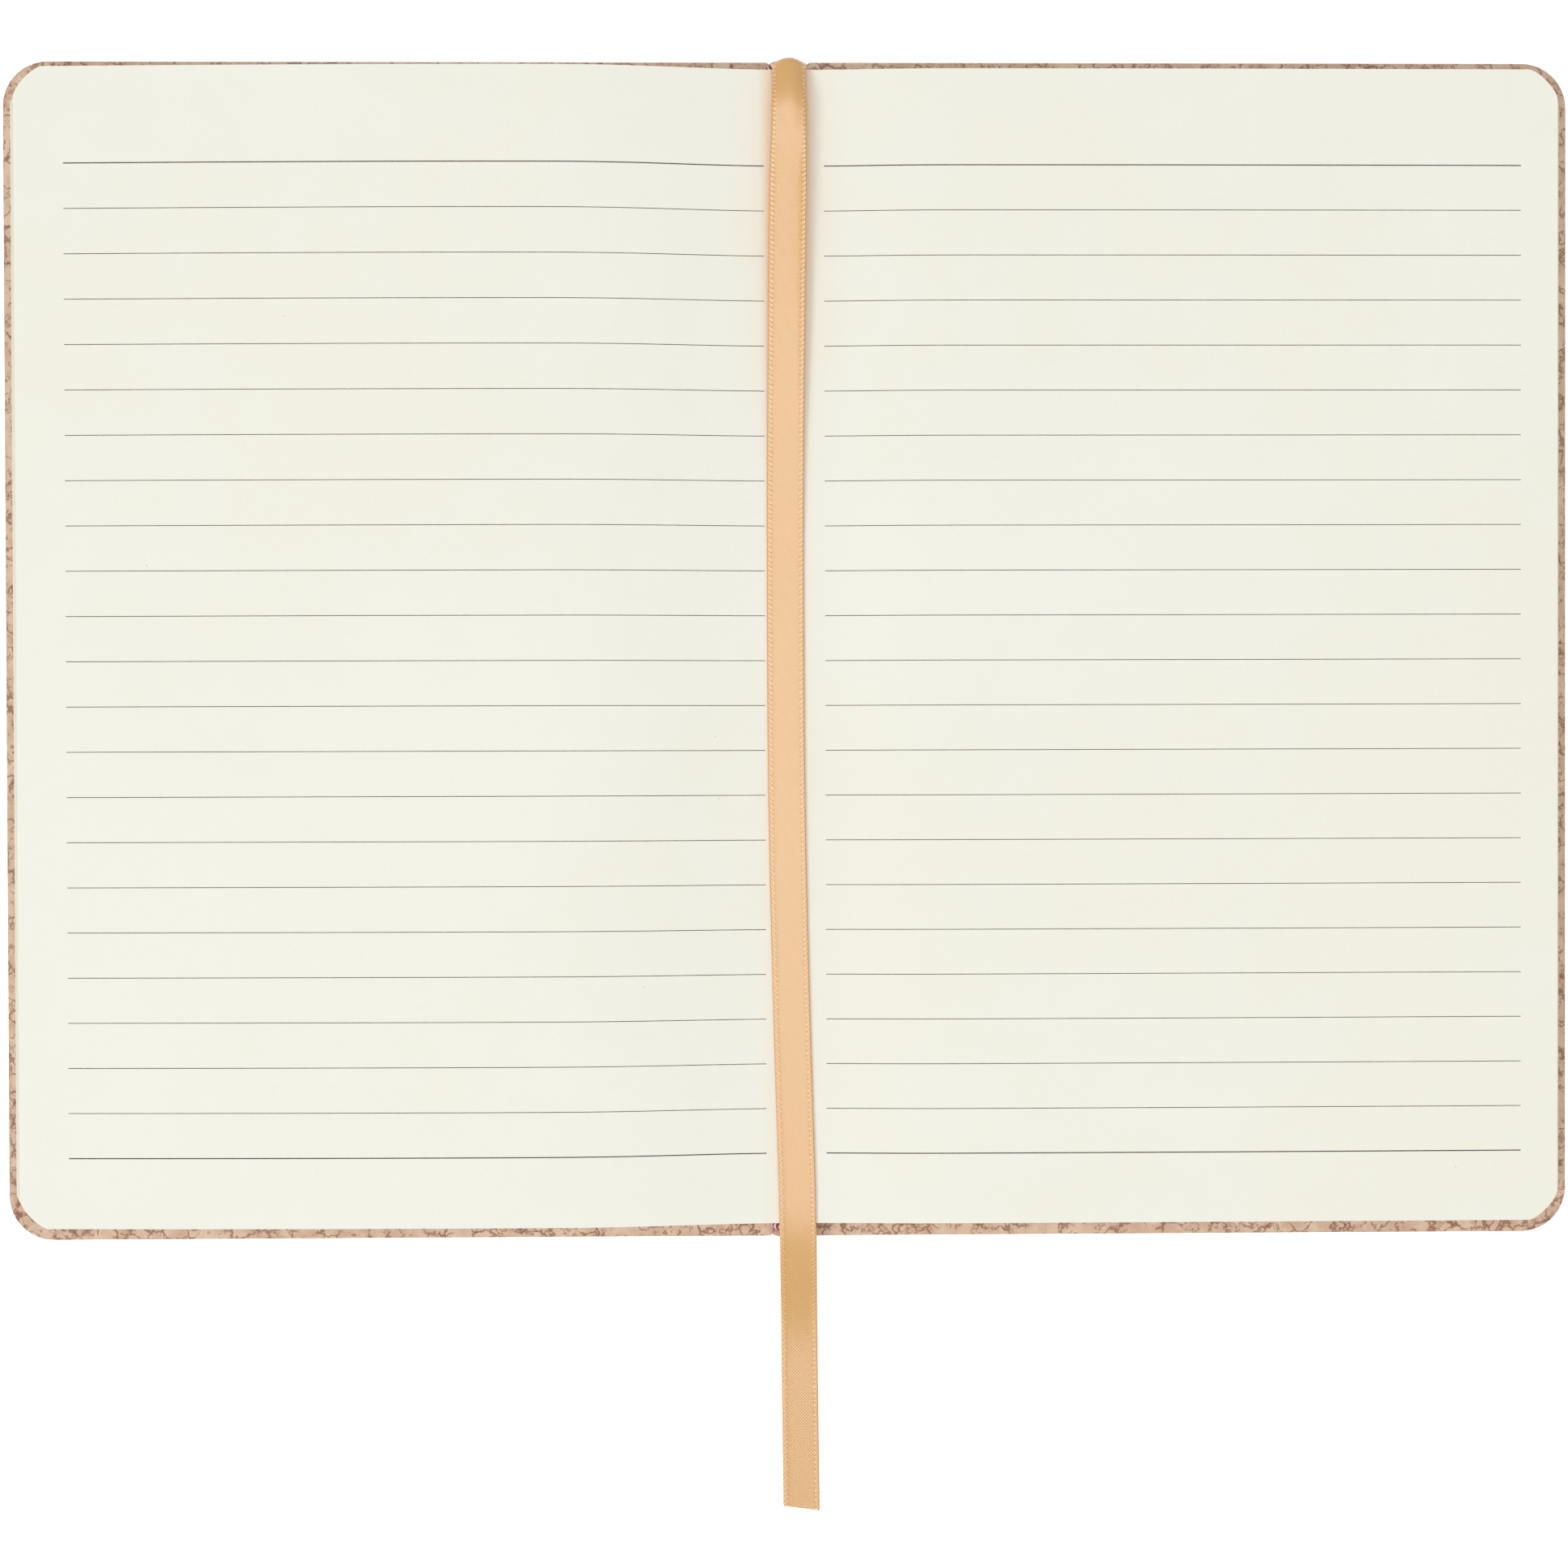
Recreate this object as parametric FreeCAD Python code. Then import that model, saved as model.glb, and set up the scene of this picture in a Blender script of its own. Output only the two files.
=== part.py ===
import FreeCAD, Part
import math
import os

# A ruled notebook in a hard cover of cork-print faux leather. It lies open on a table, a little past
# its middle, with its ribbon marker in the gutter. Each piece is written as one STEP file in parts/.
#
# Millimetres. X runs across the opened notebook, with the front cover at -X. Y runs along the spine,
# with the head of the pages at +Y. Z is up. The origin is on the table, in the middle of the cover.

V = FreeCAD.Vector

# ---- cover: two boards in one thin skin that is turned in over their edges
cover_height = 210.0
cover_corner_radius = 8.0
cover_edge_round = 0.9
cover_inner_corner = 1.2  # at the head and tail, beside the spine
board_width = 136.0
board_thickness = 2.0
joint_half_width = 3.3  # from the middle of the spine to a board's inner edge
skin_thickness = 0.35
turn_in_width = 15.0
pastedown_thickness = 0.15

# ---- page block: leaves that rise out of the gutter over an arched back
square_fore = 1.6  # how far the cover stands out past the pages on each side
square_head = 2.75
square_tail = 3.25
page_corner_cut = 5.0
page_corner_radius = 9.3
cutter_overrun = 0.5  # how far the corner punch runs on past a stack, as a share of its height
front_stack = 5.3  # the leaves on the front cover, at their fore-edge
back_stack = 4.9
front_fan = 2.2  # how far the top leaf ends short of the lowest one
back_fan = 1.9
front_crest_reach = 42.0  # where the top leaf is highest
front_crest_rise = 1.8
back_crest_reach = 32.0
back_crest_rise = 0.1
valley_ease = 14.0  # how far the leaves run on level out of the gutter
crest_ease = 18.0  # how far they run on level over the crest
gutter_paper = 0.4  # the leaves over the crown of the arch

# ---- back of the block, from the paper inwards: lining, ribbon end, headband tape, skin, card, skin
arch_radius = 2.9
arch_leg = 0.6
lining_thickness = 0.15
tape_thickness = 0.2
inlay_thickness = 0.3

# ---- headbands
bead_radius = 0.6
bead_sides = 12  # flats round the cord, an even number
bead_lean = 16.0  # degrees, by which the crown of a headband leans out over the spine's end
tape_height = 10.0

# ---- ribbon marker
ribbon_width = 6.5
ribbon_thickness = 0.25
ribbon_glued_length = 25.0

# ---- clearances
block_clearance = 0.2  # between the page block and a cover that swings away from it
spine_clearance = 0.25  # between the hinge line and the pieces of the spine above it
ribbon_clearance = 0.075

# ---- places that follow from the sizes
cover_z = skin_thickness + board_thickness
hinge_z = cover_z + pastedown_thickness + block_clearance / 2
page_z = cover_z + pastedown_thickness + block_clearance
cover_inner_x = joint_half_width - skin_thickness
cover_fore_x = joint_half_width + board_width + skin_thickness
page_fore_x = cover_fore_x - square_fore
half_height = cover_height / 2
head_y = half_height - square_head
tail_y = -half_height + square_tail
spine_foot_z = hinge_z + spine_clearance
arch_centre_z = page_z + arch_leg
gutter_z = arch_centre_z + arch_radius + gutter_paper

lining_radius = arch_radius - lining_thickness
ribbon_radius = lining_radius - ribbon_thickness
tape_radius = ribbon_radius - tape_thickness
spine_turn_in_radius = tape_radius - skin_thickness
inlay_radius = spine_turn_in_radius - inlay_thickness
spine_skin_radius = inlay_radius - skin_thickness

# The ribbon's middle line, from its glued end up between the pages and the headband, over the head
# of the pages, down the gutter, over the tail and along the table. It bows a little to the front,
# and its free end drifts to the back.
ribbon_route = [
    (0.05, 102.45, 4.20),
    (0.05, 102.45, 5.90),
    (0.05, 103.95, 7.35),
    (0.05, 103.75, 8.75),
    (0.05, 101.90, 8.95),
    (0.05, 98.40, 8.40),
    (0.00, 91.80, 7.45),
    (-0.25, 80.50, 7.05),
    (-0.50, 60.00, 7.08),
    (-0.88, 22.00, 7.00),
    (-0.76, -28.00, 7.10),
    (0.20, -70.00, 7.02),
    (0.90, -92.00, 7.12),
    (1.12, -104.50, 7.12),
    (1.22, -110.50, 5.00),
    (1.33, -115.80, 1.70),
    (1.40, -122.00, 0.32),
    (1.49, -133.00, 0.24),
    (1.72, -154.50, 0.30),
]
ribbon_run_share = 0.45  # of the shorter run, used up by each bend


def save(shape, name):
    """Checks that the piece is sound and writes it as its own file."""
    shape = shape.removeSplitter()
    if not shape.isValid() or shape.Volume <= 0:
        raise ValueError(name + " is not a sound solid")
    print(name, len(shape.Solids), "solid", round(shape.Volume, 1), "mm3")
    shape.exportStep("parts/" + name + ".step")


def mirrored(shape):
    """The same piece on the front side of the spine."""
    return shape.mirror(V(0, 0, 0), V(1, 0, 0))


def vertical_edges_at(solid, x):
    """The upright edges of a plate at one X."""
    found = []
    for edge in solid.Edges:
        box = edge.BoundBox
        if box.XLength < 1e-6 and box.YLength < 1e-6 and abs(box.XMin - x) < 1e-6:
            found.append(edge)
    return found


def rim_edges_at(solid, z):
    """The edges round a plate's face at one height."""
    return [e for e in solid.Edges if e.BoundBox.ZLength < 1e-6 and abs(e.BoundBox.ZMin - z) < 1e-6]


# ---------------------------------------------------------------- covers


def cover_plate(inset, bottom, top, edge_round):
    """A plate of the back cover's outline, drawn in by inset, with its edges rounded."""
    x0 = cover_inner_x + inset
    x1 = cover_fore_x - inset
    half = half_height - inset
    plate = Part.makeBox(x1 - x0, 2 * half, top - bottom, V(x0, -half, bottom))
    plate = plate.makeFillet(cover_corner_radius - inset, vertical_edges_at(plate, x1))
    plate = plate.makeFillet(cover_inner_corner - inset, vertical_edges_at(plate, x0))
    return plate.makeFillet(edge_round, rim_edges_at(plate, bottom) + rim_edges_at(plate, top))


def turn_in_window(bottom, top):
    """The space inside the turned-in rim, open towards the spine."""
    x0 = cover_inner_x - skin_thickness
    x1 = cover_fore_x - turn_in_width
    half = half_height - turn_in_width
    return Part.makeBox(x1 - x0, 2 * half, top - bottom, V(x0, -half, bottom))


def board():
    """A board whose inner face is pressed in under the turned-in skin, so that both lie flush."""
    full = cover_plate(skin_thickness, skin_thickness, cover_z, cover_edge_round - skin_thickness)
    seat_z = cover_z - skin_thickness
    seat = Part.makeBox(
        cover_fore_x, cover_height, board_thickness, V(cover_inner_x, -half_height, seat_z)
    )
    return full.cut(seat.cut(turn_in_window(seat_z - skin_thickness, cover_z + board_thickness)))


def cover_skin(core):
    """The skin under a board, up its four edges and turned in over three of them."""
    wrap = cover_plate(0, 0, cover_z, cover_edge_round)
    window = turn_in_window(cover_z - skin_thickness, cover_z + skin_thickness)
    return wrap.cut(core).cut(window)


# ---------------------------------------------------------------- pages


def corner_cutter(x, y, z, side, end, lean):
    """What the corner punch takes off at one corner, along the line on which the leaves' corners lie."""
    chord = page_corner_cut * math.sqrt(2)
    rise = page_corner_radius - math.sqrt(page_corner_radius**2 - (chord / 2) ** 2)
    corner = V(x, y, z)
    on_end = corner + V(-side * page_corner_cut, 0, 0)
    on_fore = corner + V(0, -end * page_corner_cut, 0)
    middle = (on_end + on_fore) * 0.5 + V(side, end, 0).normalize() * rise
    past = page_corner_cut
    outline = [
        Part.Arc(on_end, middle, on_fore).toShape(),
        Part.makeLine(on_fore, on_fore + V(side * past, 0, 0)),
        Part.makeLine(on_fore + V(side * past, 0, 0), corner + V(side * past, end * past, 0)),
        Part.makeLine(corner + V(side * past, end * past, 0), on_end + V(0, end * past, 0)),
        Part.makeLine(on_end + V(0, end * past, 0), on_end),
    ]
    return Part.Face(Part.Wire(outline)).extrude(lean)


def page_corner_cutters(side, fan, height):
    """The two corner cutters of one stack, which lean as its fore-edge does."""
    cutters = []
    for end, y in ((1, head_y), (-1, tail_y)):
        lean = V(-side * fan, 0, height)
        start = V(side * page_fore_x, y, page_z) - lean * cutter_overrun
        lean = lean * (1 + 2 * cutter_overrun)
        cutters.append(corner_cutter(start.x, start.y, start.z, side, end, lean))
    return cutters


def pastedown():
    """The endpaper leaf on the inside of the back cover, the size of a page."""
    x0 = cover_inner_x + cover_edge_round
    sheet = Part.makeBox(
        page_fore_x - x0, head_y - tail_y, pastedown_thickness, V(x0, tail_y, cover_z)
    )
    for end, y in ((1, head_y), (-1, tail_y)):
        up = V(0, 0, 3 * pastedown_thickness)
        cutter = corner_cutter(page_fore_x, y, cover_z - pastedown_thickness, 1, end, up)
        sheet = sheet.cut(cutter)
    return sheet


def top_of_stack(side, stack, fan, crest_reach, crest_rise):
    """The top leaf's line: level out of the gutter, up to its crest and down to the fore-edge."""
    gutter = V(0, tail_y, gutter_z)
    crest = V(side * crest_reach, tail_y, page_z + stack + crest_rise)
    fore = V(side * (page_fore_x - fan), tail_y, page_z + stack)
    rise = Part.BezierCurve()
    rise.setPoles(
        [gutter, gutter + V(side * valley_ease, 0, 0), crest - V(side * crest_ease, 0, 0), crest]
    )
    fall = Part.BezierCurve()
    fall.setPoles([crest, crest + V(side * 2 * crest_ease, 0, 0), fore])
    return [rise.toShape(), fall.toShape()]


def page_block():
    """All the leaves as one solid: two stacks joined over the arch of the back."""
    front_top = V(-page_fore_x + front_fan, tail_y, page_z + front_stack)
    front_low = V(-page_fore_x, tail_y, page_z)
    back_top = V(page_fore_x - back_fan, tail_y, page_z + back_stack)
    back_low = V(page_fore_x, tail_y, page_z)
    front_foot = V(-arch_radius, tail_y, page_z)
    front_spring = V(-arch_radius, tail_y, arch_centre_z)
    crown = V(0, tail_y, arch_centre_z + arch_radius)
    back_spring = V(arch_radius, tail_y, arch_centre_z)
    back_foot = V(arch_radius, tail_y, page_z)
    edges = [
        Part.makeLine(front_top, front_low),
        Part.makeLine(front_low, front_foot),
        Part.makeLine(front_foot, front_spring),
        Part.Arc(front_spring, crown, back_spring).toShape(),
        Part.makeLine(back_spring, back_foot),
        Part.makeLine(back_foot, back_low),
        Part.makeLine(back_low, back_top),
    ]
    edges += top_of_stack(-1, front_stack, front_fan, front_crest_reach, front_crest_rise)
    edges += top_of_stack(1, back_stack, back_fan, back_crest_reach, back_crest_rise)
    section = Part.Wire(Part.__sortEdges__(edges))
    block = Part.Face(section).extrude(V(0, head_y - tail_y, 0))
    cutters = page_corner_cutters(-1, front_fan, front_stack)
    cutters += page_corner_cutters(1, back_fan, back_stack)
    for cutter in cutters:
        block = block.cut(cutter)
    return block


# ---------------------------------------------------------------- spine


def arch_band(outer, inner, y0, y1, foot_z):
    """A strip bent over the spine's arch, between two radii, with straight legs down to foot_z."""

    def half_round(radius):
        legs = Part.makeBox(2 * radius, y1 - y0, arch_centre_z, V(-radius, y0, 0))
        return Part.makeCylinder(radius, y1 - y0, V(0, y0, arch_centre_z), V(0, 1, 0)).fuse(legs)

    band = half_round(outer).cut(half_round(inner))
    keep = Part.makeBox(
        2 * outer, y1 - y0, outer + arch_centre_z - foot_z, V(-outer, y0, foot_z)
    )
    return band.common(keep)


def spine_skin():
    """The skin inside the arch, folded round both ends of the card inlay."""
    skin = arch_band(inlay_radius, spine_skin_radius, -half_height, half_height, spine_foot_z)
    for end in (1, -1):
        fold = [end * half_height, end * (half_height - skin_thickness)]
        turned = [end * half_height, end * (half_height - turn_in_width)]
        skin = skin.fuse(
            arch_band(tape_radius, inlay_radius, min(fold), max(fold), spine_foot_z)
        )
        skin = skin.fuse(
            arch_band(tape_radius, spine_turn_in_radius, min(turned), max(turned), spine_foot_z)
        )
    return skin


def spine_inlay():
    """The flexible card in the spine, as tall as the boards."""
    end_y = half_height - skin_thickness
    return arch_band(spine_turn_in_radius, inlay_radius, -end_y, end_y, spine_foot_z)


def spine_lining():
    """The lining glued on the back of the page block."""
    return arch_band(arch_radius, lining_radius, tail_y, head_y, spine_foot_z)


def bead_section(middle, first, last):
    """The flat section of a bead from its corner number first to its corner number last."""
    corners = []
    for number in range(first, last + 1):
        turn = 2 * math.pi * number / bead_sides
        corners.append(middle + V(math.cos(turn), math.sin(turn), 0) * bead_radius)
    return Part.Face(Part.makePolygon(corners + corners[:1]))


def bead_leg(spring, end):
    """A bead's upright leg below the arch, with the wedge that fills its bend into the leaning arch."""
    leg = bead_section(spring, 0, bead_sides - 1).extrude(V(0, 0, spine_foot_z - spring.z))
    half = bead_sides // 2
    inner = bead_section(spring, half, bead_sides) if end > 0 else bead_section(spring, 0, half)
    return leg.fuse(inner.revolve(spring, V(1, 0, 0), -end * bead_lean))


def headband(end, edge_y, standoff, tape_outer):
    """A round bead arched over one end of the spine, on a tape glued to the back of the block."""
    lean = math.radians(bead_lean)
    bead_y = edge_y + end * (standoff + bead_radius)
    centre = V(0, bead_y, arch_centre_z)
    reach = arch_radius / math.cos(lean)
    spring = centre + V(reach, 0, 0)
    bead = bead_section(spring, 0, bead_sides - 1).revolve(centre, V(0, 1, 0), -180)
    bead.rotate(centre, V(1, 0, 0), -end * bead_lean)
    leg = bead_leg(spring, end)
    bead = bead.fuse(leg).fuse(mirrored(leg))
    crown_y = bead_y + end * reach * math.sin(lean)
    tape_ends = [edge_y - end * tape_height, crown_y]
    tape_inner = tape_outer - tape_thickness
    tape = arch_band(tape_outer, tape_inner, min(tape_ends), max(tape_ends), spine_foot_z)
    corner = centre + V(-half_height, min(0, end * half_height), -half_height)
    past_bead = Part.makeBox(cover_height, half_height, cover_height, corner)
    past_bead.rotate(centre, V(1, 0, 0), -end * bead_lean)
    return bead.fuse(tape.cut(past_bead))


# ---------------------------------------------------------------- ribbon


def ribbon_bends():
    """Each bend of the route seen from the side: where it starts, its middle, its end and its radius."""
    flat = [V(0, y, z) for _, y, z in ribbon_route]
    bends = []
    for before, at, after in zip(flat, flat[1:], flat[2:]):
        back = before - at
        on = after - at
        half_turn = (math.pi - back.getAngle(on)) / 2
        reach = ribbon_run_share * min(back.Length, on.Length)
        radius = reach / math.tan(half_turn)
        back.normalize()
        on.normalize()
        inwards = (back + on).normalize()
        centre = at + inwards * math.hypot(radius, reach)
        bends.append((at + back * reach, centre - inwards * radius, at + on * reach, centre, radius))
    return bends


def ribbon_side(bends, offset):
    """The route's line moved sideways by offset, as straight runs and tangent arcs."""

    def moved(point, along):
        return point + V(0, -along.z, along.y).normalize() * offset

    first = V(0, *ribbon_route[0][1:])
    last = V(0, *ribbon_route[-1][1:])
    edges = []
    here = moved(first, bends[0][0] - first)
    for start, middle, end, centre, radius in bends:
        turn = (start - centre).cross(end - centre).x
        scale = (radius + offset * (-1 if turn > 0 else 1)) / radius
        points = [centre + (p - centre) * scale for p in (start, middle, end)]
        edges.append(Part.makeLine(here, points[0]))
        edges.append(Part.Arc(*points).toShape())
        here = points[2]
    edges.append(Part.makeLine(here, moved(last, last - bends[-1][2])))
    return edges


def ribbon_plan():
    """The ribbon seen from above: both edges follow the route's gentle bow."""
    middle = [V(x, y, 0) for x, y, _ in ribbon_route if y < head_y - ribbon_clearance]
    middle[-1] = middle[-1] - V(0, ribbon_width, 0)
    middle.insert(0, V(0, half_height, 0))
    sides = []
    for shift in (-ribbon_width / 2, ribbon_width / 2):
        curve = Part.BSplineCurve()
        curve.interpolate(Points=[p + V(shift, 0, 0) for p in middle])
        sides.append(curve.toShape())
    ends = [
        Part.makeLine(middle[i] - V(ribbon_width / 2, 0, 0), middle[i] + V(ribbon_width / 2, 0, 0))
        for i in (0, -1)
    ]
    return Part.Face(Part.Wire(Part.__sortEdges__(sides + ends)))


def ribbon_marker():
    """The ribbon: a glued end under the arch, then a flat strip along the route."""
    bends = ribbon_bends()
    print("ribbon radii", [round(bend[4], 1) for bend in bends])
    upper = ribbon_side(bends, ribbon_thickness / 2)
    lower = ribbon_side(bends, -ribbon_thickness / 2)
    first = Part.makeLine(upper[0].Vertexes[0].Point, lower[0].Vertexes[0].Point)
    last = Part.makeLine(upper[-1].Vertexes[-1].Point, lower[-1].Vertexes[-1].Point)
    side = Part.Face(Part.Wire(Part.__sortEdges__(upper + lower + [first, last])))
    strip = side.extrude(V(2 * ribbon_width, 0, 0))
    strip.translate(V(-ribbon_width, 0, 0))
    plan = ribbon_plan().extrude(V(0, 0, max(z for _, _, z in ribbon_route) + ribbon_thickness))
    strip = strip.common(plan)
    runs = [V(*a).distanceToPoint(V(*b)) for a, b in zip(ribbon_route, ribbon_route[1:])]
    print("ribbon runs", [round(run, 1) for run in runs], "added up", round(sum(runs), 1))
    print("strip volume over section", round(strip.Volume / ribbon_width / ribbon_thickness, 1), "mm")
    hollow = Part.makeCylinder(
        ribbon_radius, half_height - head_y, V(0, head_y, arch_centre_z), V(0, 1, 0)
    )
    strip = strip.cut(hollow)
    glued = arch_band(
        lining_radius,
        ribbon_radius,
        head_y - ribbon_glued_length,
        head_y + ribbon_clearance + ribbon_thickness / 2,
        ribbon_route[0][2],
    )
    return strip.fuse(glued)


os.makedirs("parts", exist_ok=True)

back_core = board()
back_wrap = cover_skin(back_core)
back_leaf = pastedown()
save(back_core, "back_board")
save(back_wrap, "back_cover_skin")
save(back_leaf, "back_pastedown")
save(mirrored(back_core), "front_board")
save(mirrored(back_wrap), "front_cover_skin")
save(mirrored(back_leaf), "front_pastedown")
save(page_block(), "page_block")
save(spine_lining(), "spine_lining")
save(spine_inlay(), "spine_inlay")
save(spine_skin(), "spine_skin")
head_gap = 2 * ribbon_clearance + ribbon_thickness
save(headband(1, head_y, head_gap, ribbon_radius), "head_headband")
save(headband(-1, tail_y, 0, lining_radius), "tail_headband")
save(ribbon_marker(), "ribbon_marker")
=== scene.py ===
# %% [markdown]
# # An open ruled notebook in cork-print faux leather
# The notebook lies open a little past its middle, with its ribbon marker in the gutter. The packed
# model gives the boxes that the pieces fill, and this file gives each piece its shape close up and
# its finish. Everything is in metres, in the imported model's frame, so nothing has to be fitted.

# %% The frame
import math
import random

import bmesh
import bpy
import numpy as np
from mathutils import Euler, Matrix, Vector


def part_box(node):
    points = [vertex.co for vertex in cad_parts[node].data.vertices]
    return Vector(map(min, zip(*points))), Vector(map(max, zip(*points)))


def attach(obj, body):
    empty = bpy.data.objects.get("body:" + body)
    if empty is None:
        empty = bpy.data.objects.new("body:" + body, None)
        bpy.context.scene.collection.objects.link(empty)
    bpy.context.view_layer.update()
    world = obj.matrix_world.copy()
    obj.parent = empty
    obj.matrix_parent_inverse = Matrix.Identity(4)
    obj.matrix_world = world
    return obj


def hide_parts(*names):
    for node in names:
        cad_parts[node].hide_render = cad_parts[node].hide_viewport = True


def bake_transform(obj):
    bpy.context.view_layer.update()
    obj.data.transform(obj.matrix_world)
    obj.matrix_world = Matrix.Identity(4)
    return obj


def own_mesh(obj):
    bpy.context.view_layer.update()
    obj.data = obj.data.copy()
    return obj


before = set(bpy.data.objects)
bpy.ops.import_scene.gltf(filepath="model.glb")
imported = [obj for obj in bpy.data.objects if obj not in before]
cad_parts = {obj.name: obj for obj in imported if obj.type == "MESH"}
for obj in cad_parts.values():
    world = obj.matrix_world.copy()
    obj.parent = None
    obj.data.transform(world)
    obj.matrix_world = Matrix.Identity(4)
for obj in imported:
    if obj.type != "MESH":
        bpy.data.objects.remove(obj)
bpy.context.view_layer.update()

MM = 0.001

# %% [markdown]
# ## The camera
# The notebook is seen from above, from less than arm's length. A lens a little longer than normal
# keeps the pages square, and the camera is about one degree off plumb, as on a plain copy stand.

# %% Camera above the notebook
def new_object(name, data):
    """Puts an object with this data in the scene."""
    made = bpy.data.objects.new(name, data)
    bpy.context.scene.collection.objects.link(made)
    return made


camera_place = (-7.56 * MM, -19.78 * MM, 420 * MM)
camera_turn = Euler((-0.0098, -0.0155, -0.0029))
camera_lens = 53.606

camera_data = bpy.data.cameras.new("copy_stand_camera")
camera_data.lens = camera_lens
camera_data.sensor_width = 36
camera_data.clip_start = 0.01
camera = new_object("copy_stand_camera", camera_data)
camera.location = camera_place
camera.rotation_euler = camera_turn
bpy.context.scene.camera = camera
print("camera", [round(v / MM, 1) for v in camera.location], "mm, lens", camera_lens)

# %% [markdown]
# ## Small tools for the work
# An operator acts on all that is selected, so each step starts with nothing selected. Faces and
# edges are then picked by their place, as one would click them.

# %% Picking and editing
merge_within = 0.001 * MM


def only(piece):
    """Leaves object mode with one piece selected and active."""
    bpy.ops.object.select_all(action="DESELECT")
    piece.select_set(True)
    bpy.context.view_layer.objects.active = piece


def start_edit(piece, action="DESELECT"):
    """Opens a piece for editing with nothing, or with all of it, selected."""
    only(piece)
    bpy.ops.object.mode_set(mode="EDIT")
    bpy.ops.mesh.select_all(action=action)


def end_edit():
    bpy.ops.object.mode_set(mode="OBJECT")


def pick(piece, kind, test):
    """Selects the verts, edges or faces of a piece in edit mode that pass the test."""
    bpy.ops.mesh.select_mode(type=kind)
    bpy.ops.mesh.select_all(action="DESELECT")
    mesh = bmesh.from_edit_mesh(piece.data)
    parts = {"VERT": mesh.verts, "EDGE": mesh.edges, "FACE": mesh.faces}[kind]
    count = 0
    for part in parts:
        if test(part):
            part.select_set(True)
            count += 1
    mesh.select_flush_mode()
    bmesh.update_edit_mesh(piece.data)
    return count


def settle(piece, name):
    """Gives a new piece its name and puts its place and size into its mesh."""
    only(piece)
    piece.name = name
    piece.data.name = name
    bpy.ops.object.transform_apply(location=True, rotation=True, scale=True)
    return piece


def modify(piece, kind, **settings):
    """Adds a modifier, sets it and applies it."""
    only(piece)
    bpy.ops.object.modifier_add(type=kind)
    modifier = piece.modifiers[-1]
    for key, value in settings.items():
        setattr(modifier, key, value)
    bpy.ops.object.modifier_apply(modifier=modifier.name)


def face_out(piece, close=True):
    """Turns every face outwards, and closes doubles first unless told not to."""
    start_edit(piece, "SELECT")
    if close:
        bpy.ops.mesh.remove_doubles(threshold=merge_within)
    bpy.ops.mesh.normals_make_consistent(inside=False)
    end_edit()
    return piece


def close_sheet():
    """Ends the edit of a flat sheet as a closed one, 1 mm thick until its points are laid."""
    bpy.ops.mesh.select_all(action="SELECT")
    bpy.ops.mesh.extrude_region_move(TRANSFORM_OT_translate={"value": (0, 0, 1 * MM)})
    end_edit()


def join_all(pieces, name):
    """Joins pieces into the first of them and names it."""
    bpy.ops.object.select_all(action="DESELECT")
    for piece in pieces:
        piece.select_set(True)
    bpy.context.view_layer.objects.active = pieces[0]
    bpy.ops.object.join()
    pieces[0].name = pieces[0].data.name = name
    return pieces[0]


def smooth(piece, degrees=35):
    only(piece)
    bpy.ops.object.shade_smooth_by_angle(angle=math.radians(degrees))
    return piece


def points_of(mesh):
    points = np.zeros(len(mesh.vertices) * 3)
    mesh.vertices.foreach_get("co", points)
    return points.reshape(-1, 3)


def set_points(mesh, points):
    mesh.vertices.foreach_set("co", np.asarray(points, dtype=np.float32).ravel())
    mesh.update()


def mark_points(mesh, name, values):
    """Gives each point a number that a finish can read by this name."""
    marks = mesh.attributes.new(name, "FLOAT", "POINT")
    marks.data.foreach_set("value", np.asarray(values, dtype=np.float32))


def tidy_cube(name, low, high):
    """A block between two corners, in millimetres."""
    low, high = Vector(low) * MM, Vector(high) * MM
    bpy.ops.mesh.primitive_cube_add(size=1, location=(low + high) / 2, scale=high - low)
    return settle(bpy.context.active_object, name)


def flat_grid(name, low, high, columns, rows):
    """A flat sheet between two corners in X and Y, in millimetres, cut into columns and rows."""
    middle = ((low[0] + high[0]) / 2 * MM, (low[1] + high[1]) / 2 * MM, 0)
    bpy.ops.mesh.primitive_grid_add(
        x_subdivisions=columns, y_subdivisions=rows, size=1, location=middle
    )
    sheet = bpy.context.active_object
    sheet.scale = ((high[0] - low[0]) * MM, (high[1] - low[1]) * MM, 1)
    return settle(sheet, name)


# %% Writing materials
def linear(red, green, blue):
    """A colour given as it looks on a screen, from 0 to 255, as light."""
    def channel(v):
        v = v / 255
        return v / 12.92 if v <= 0.04045 else ((v + 0.055) / 1.055) ** 2.4
    return (channel(red), channel(green), channel(blue), 1)


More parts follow.
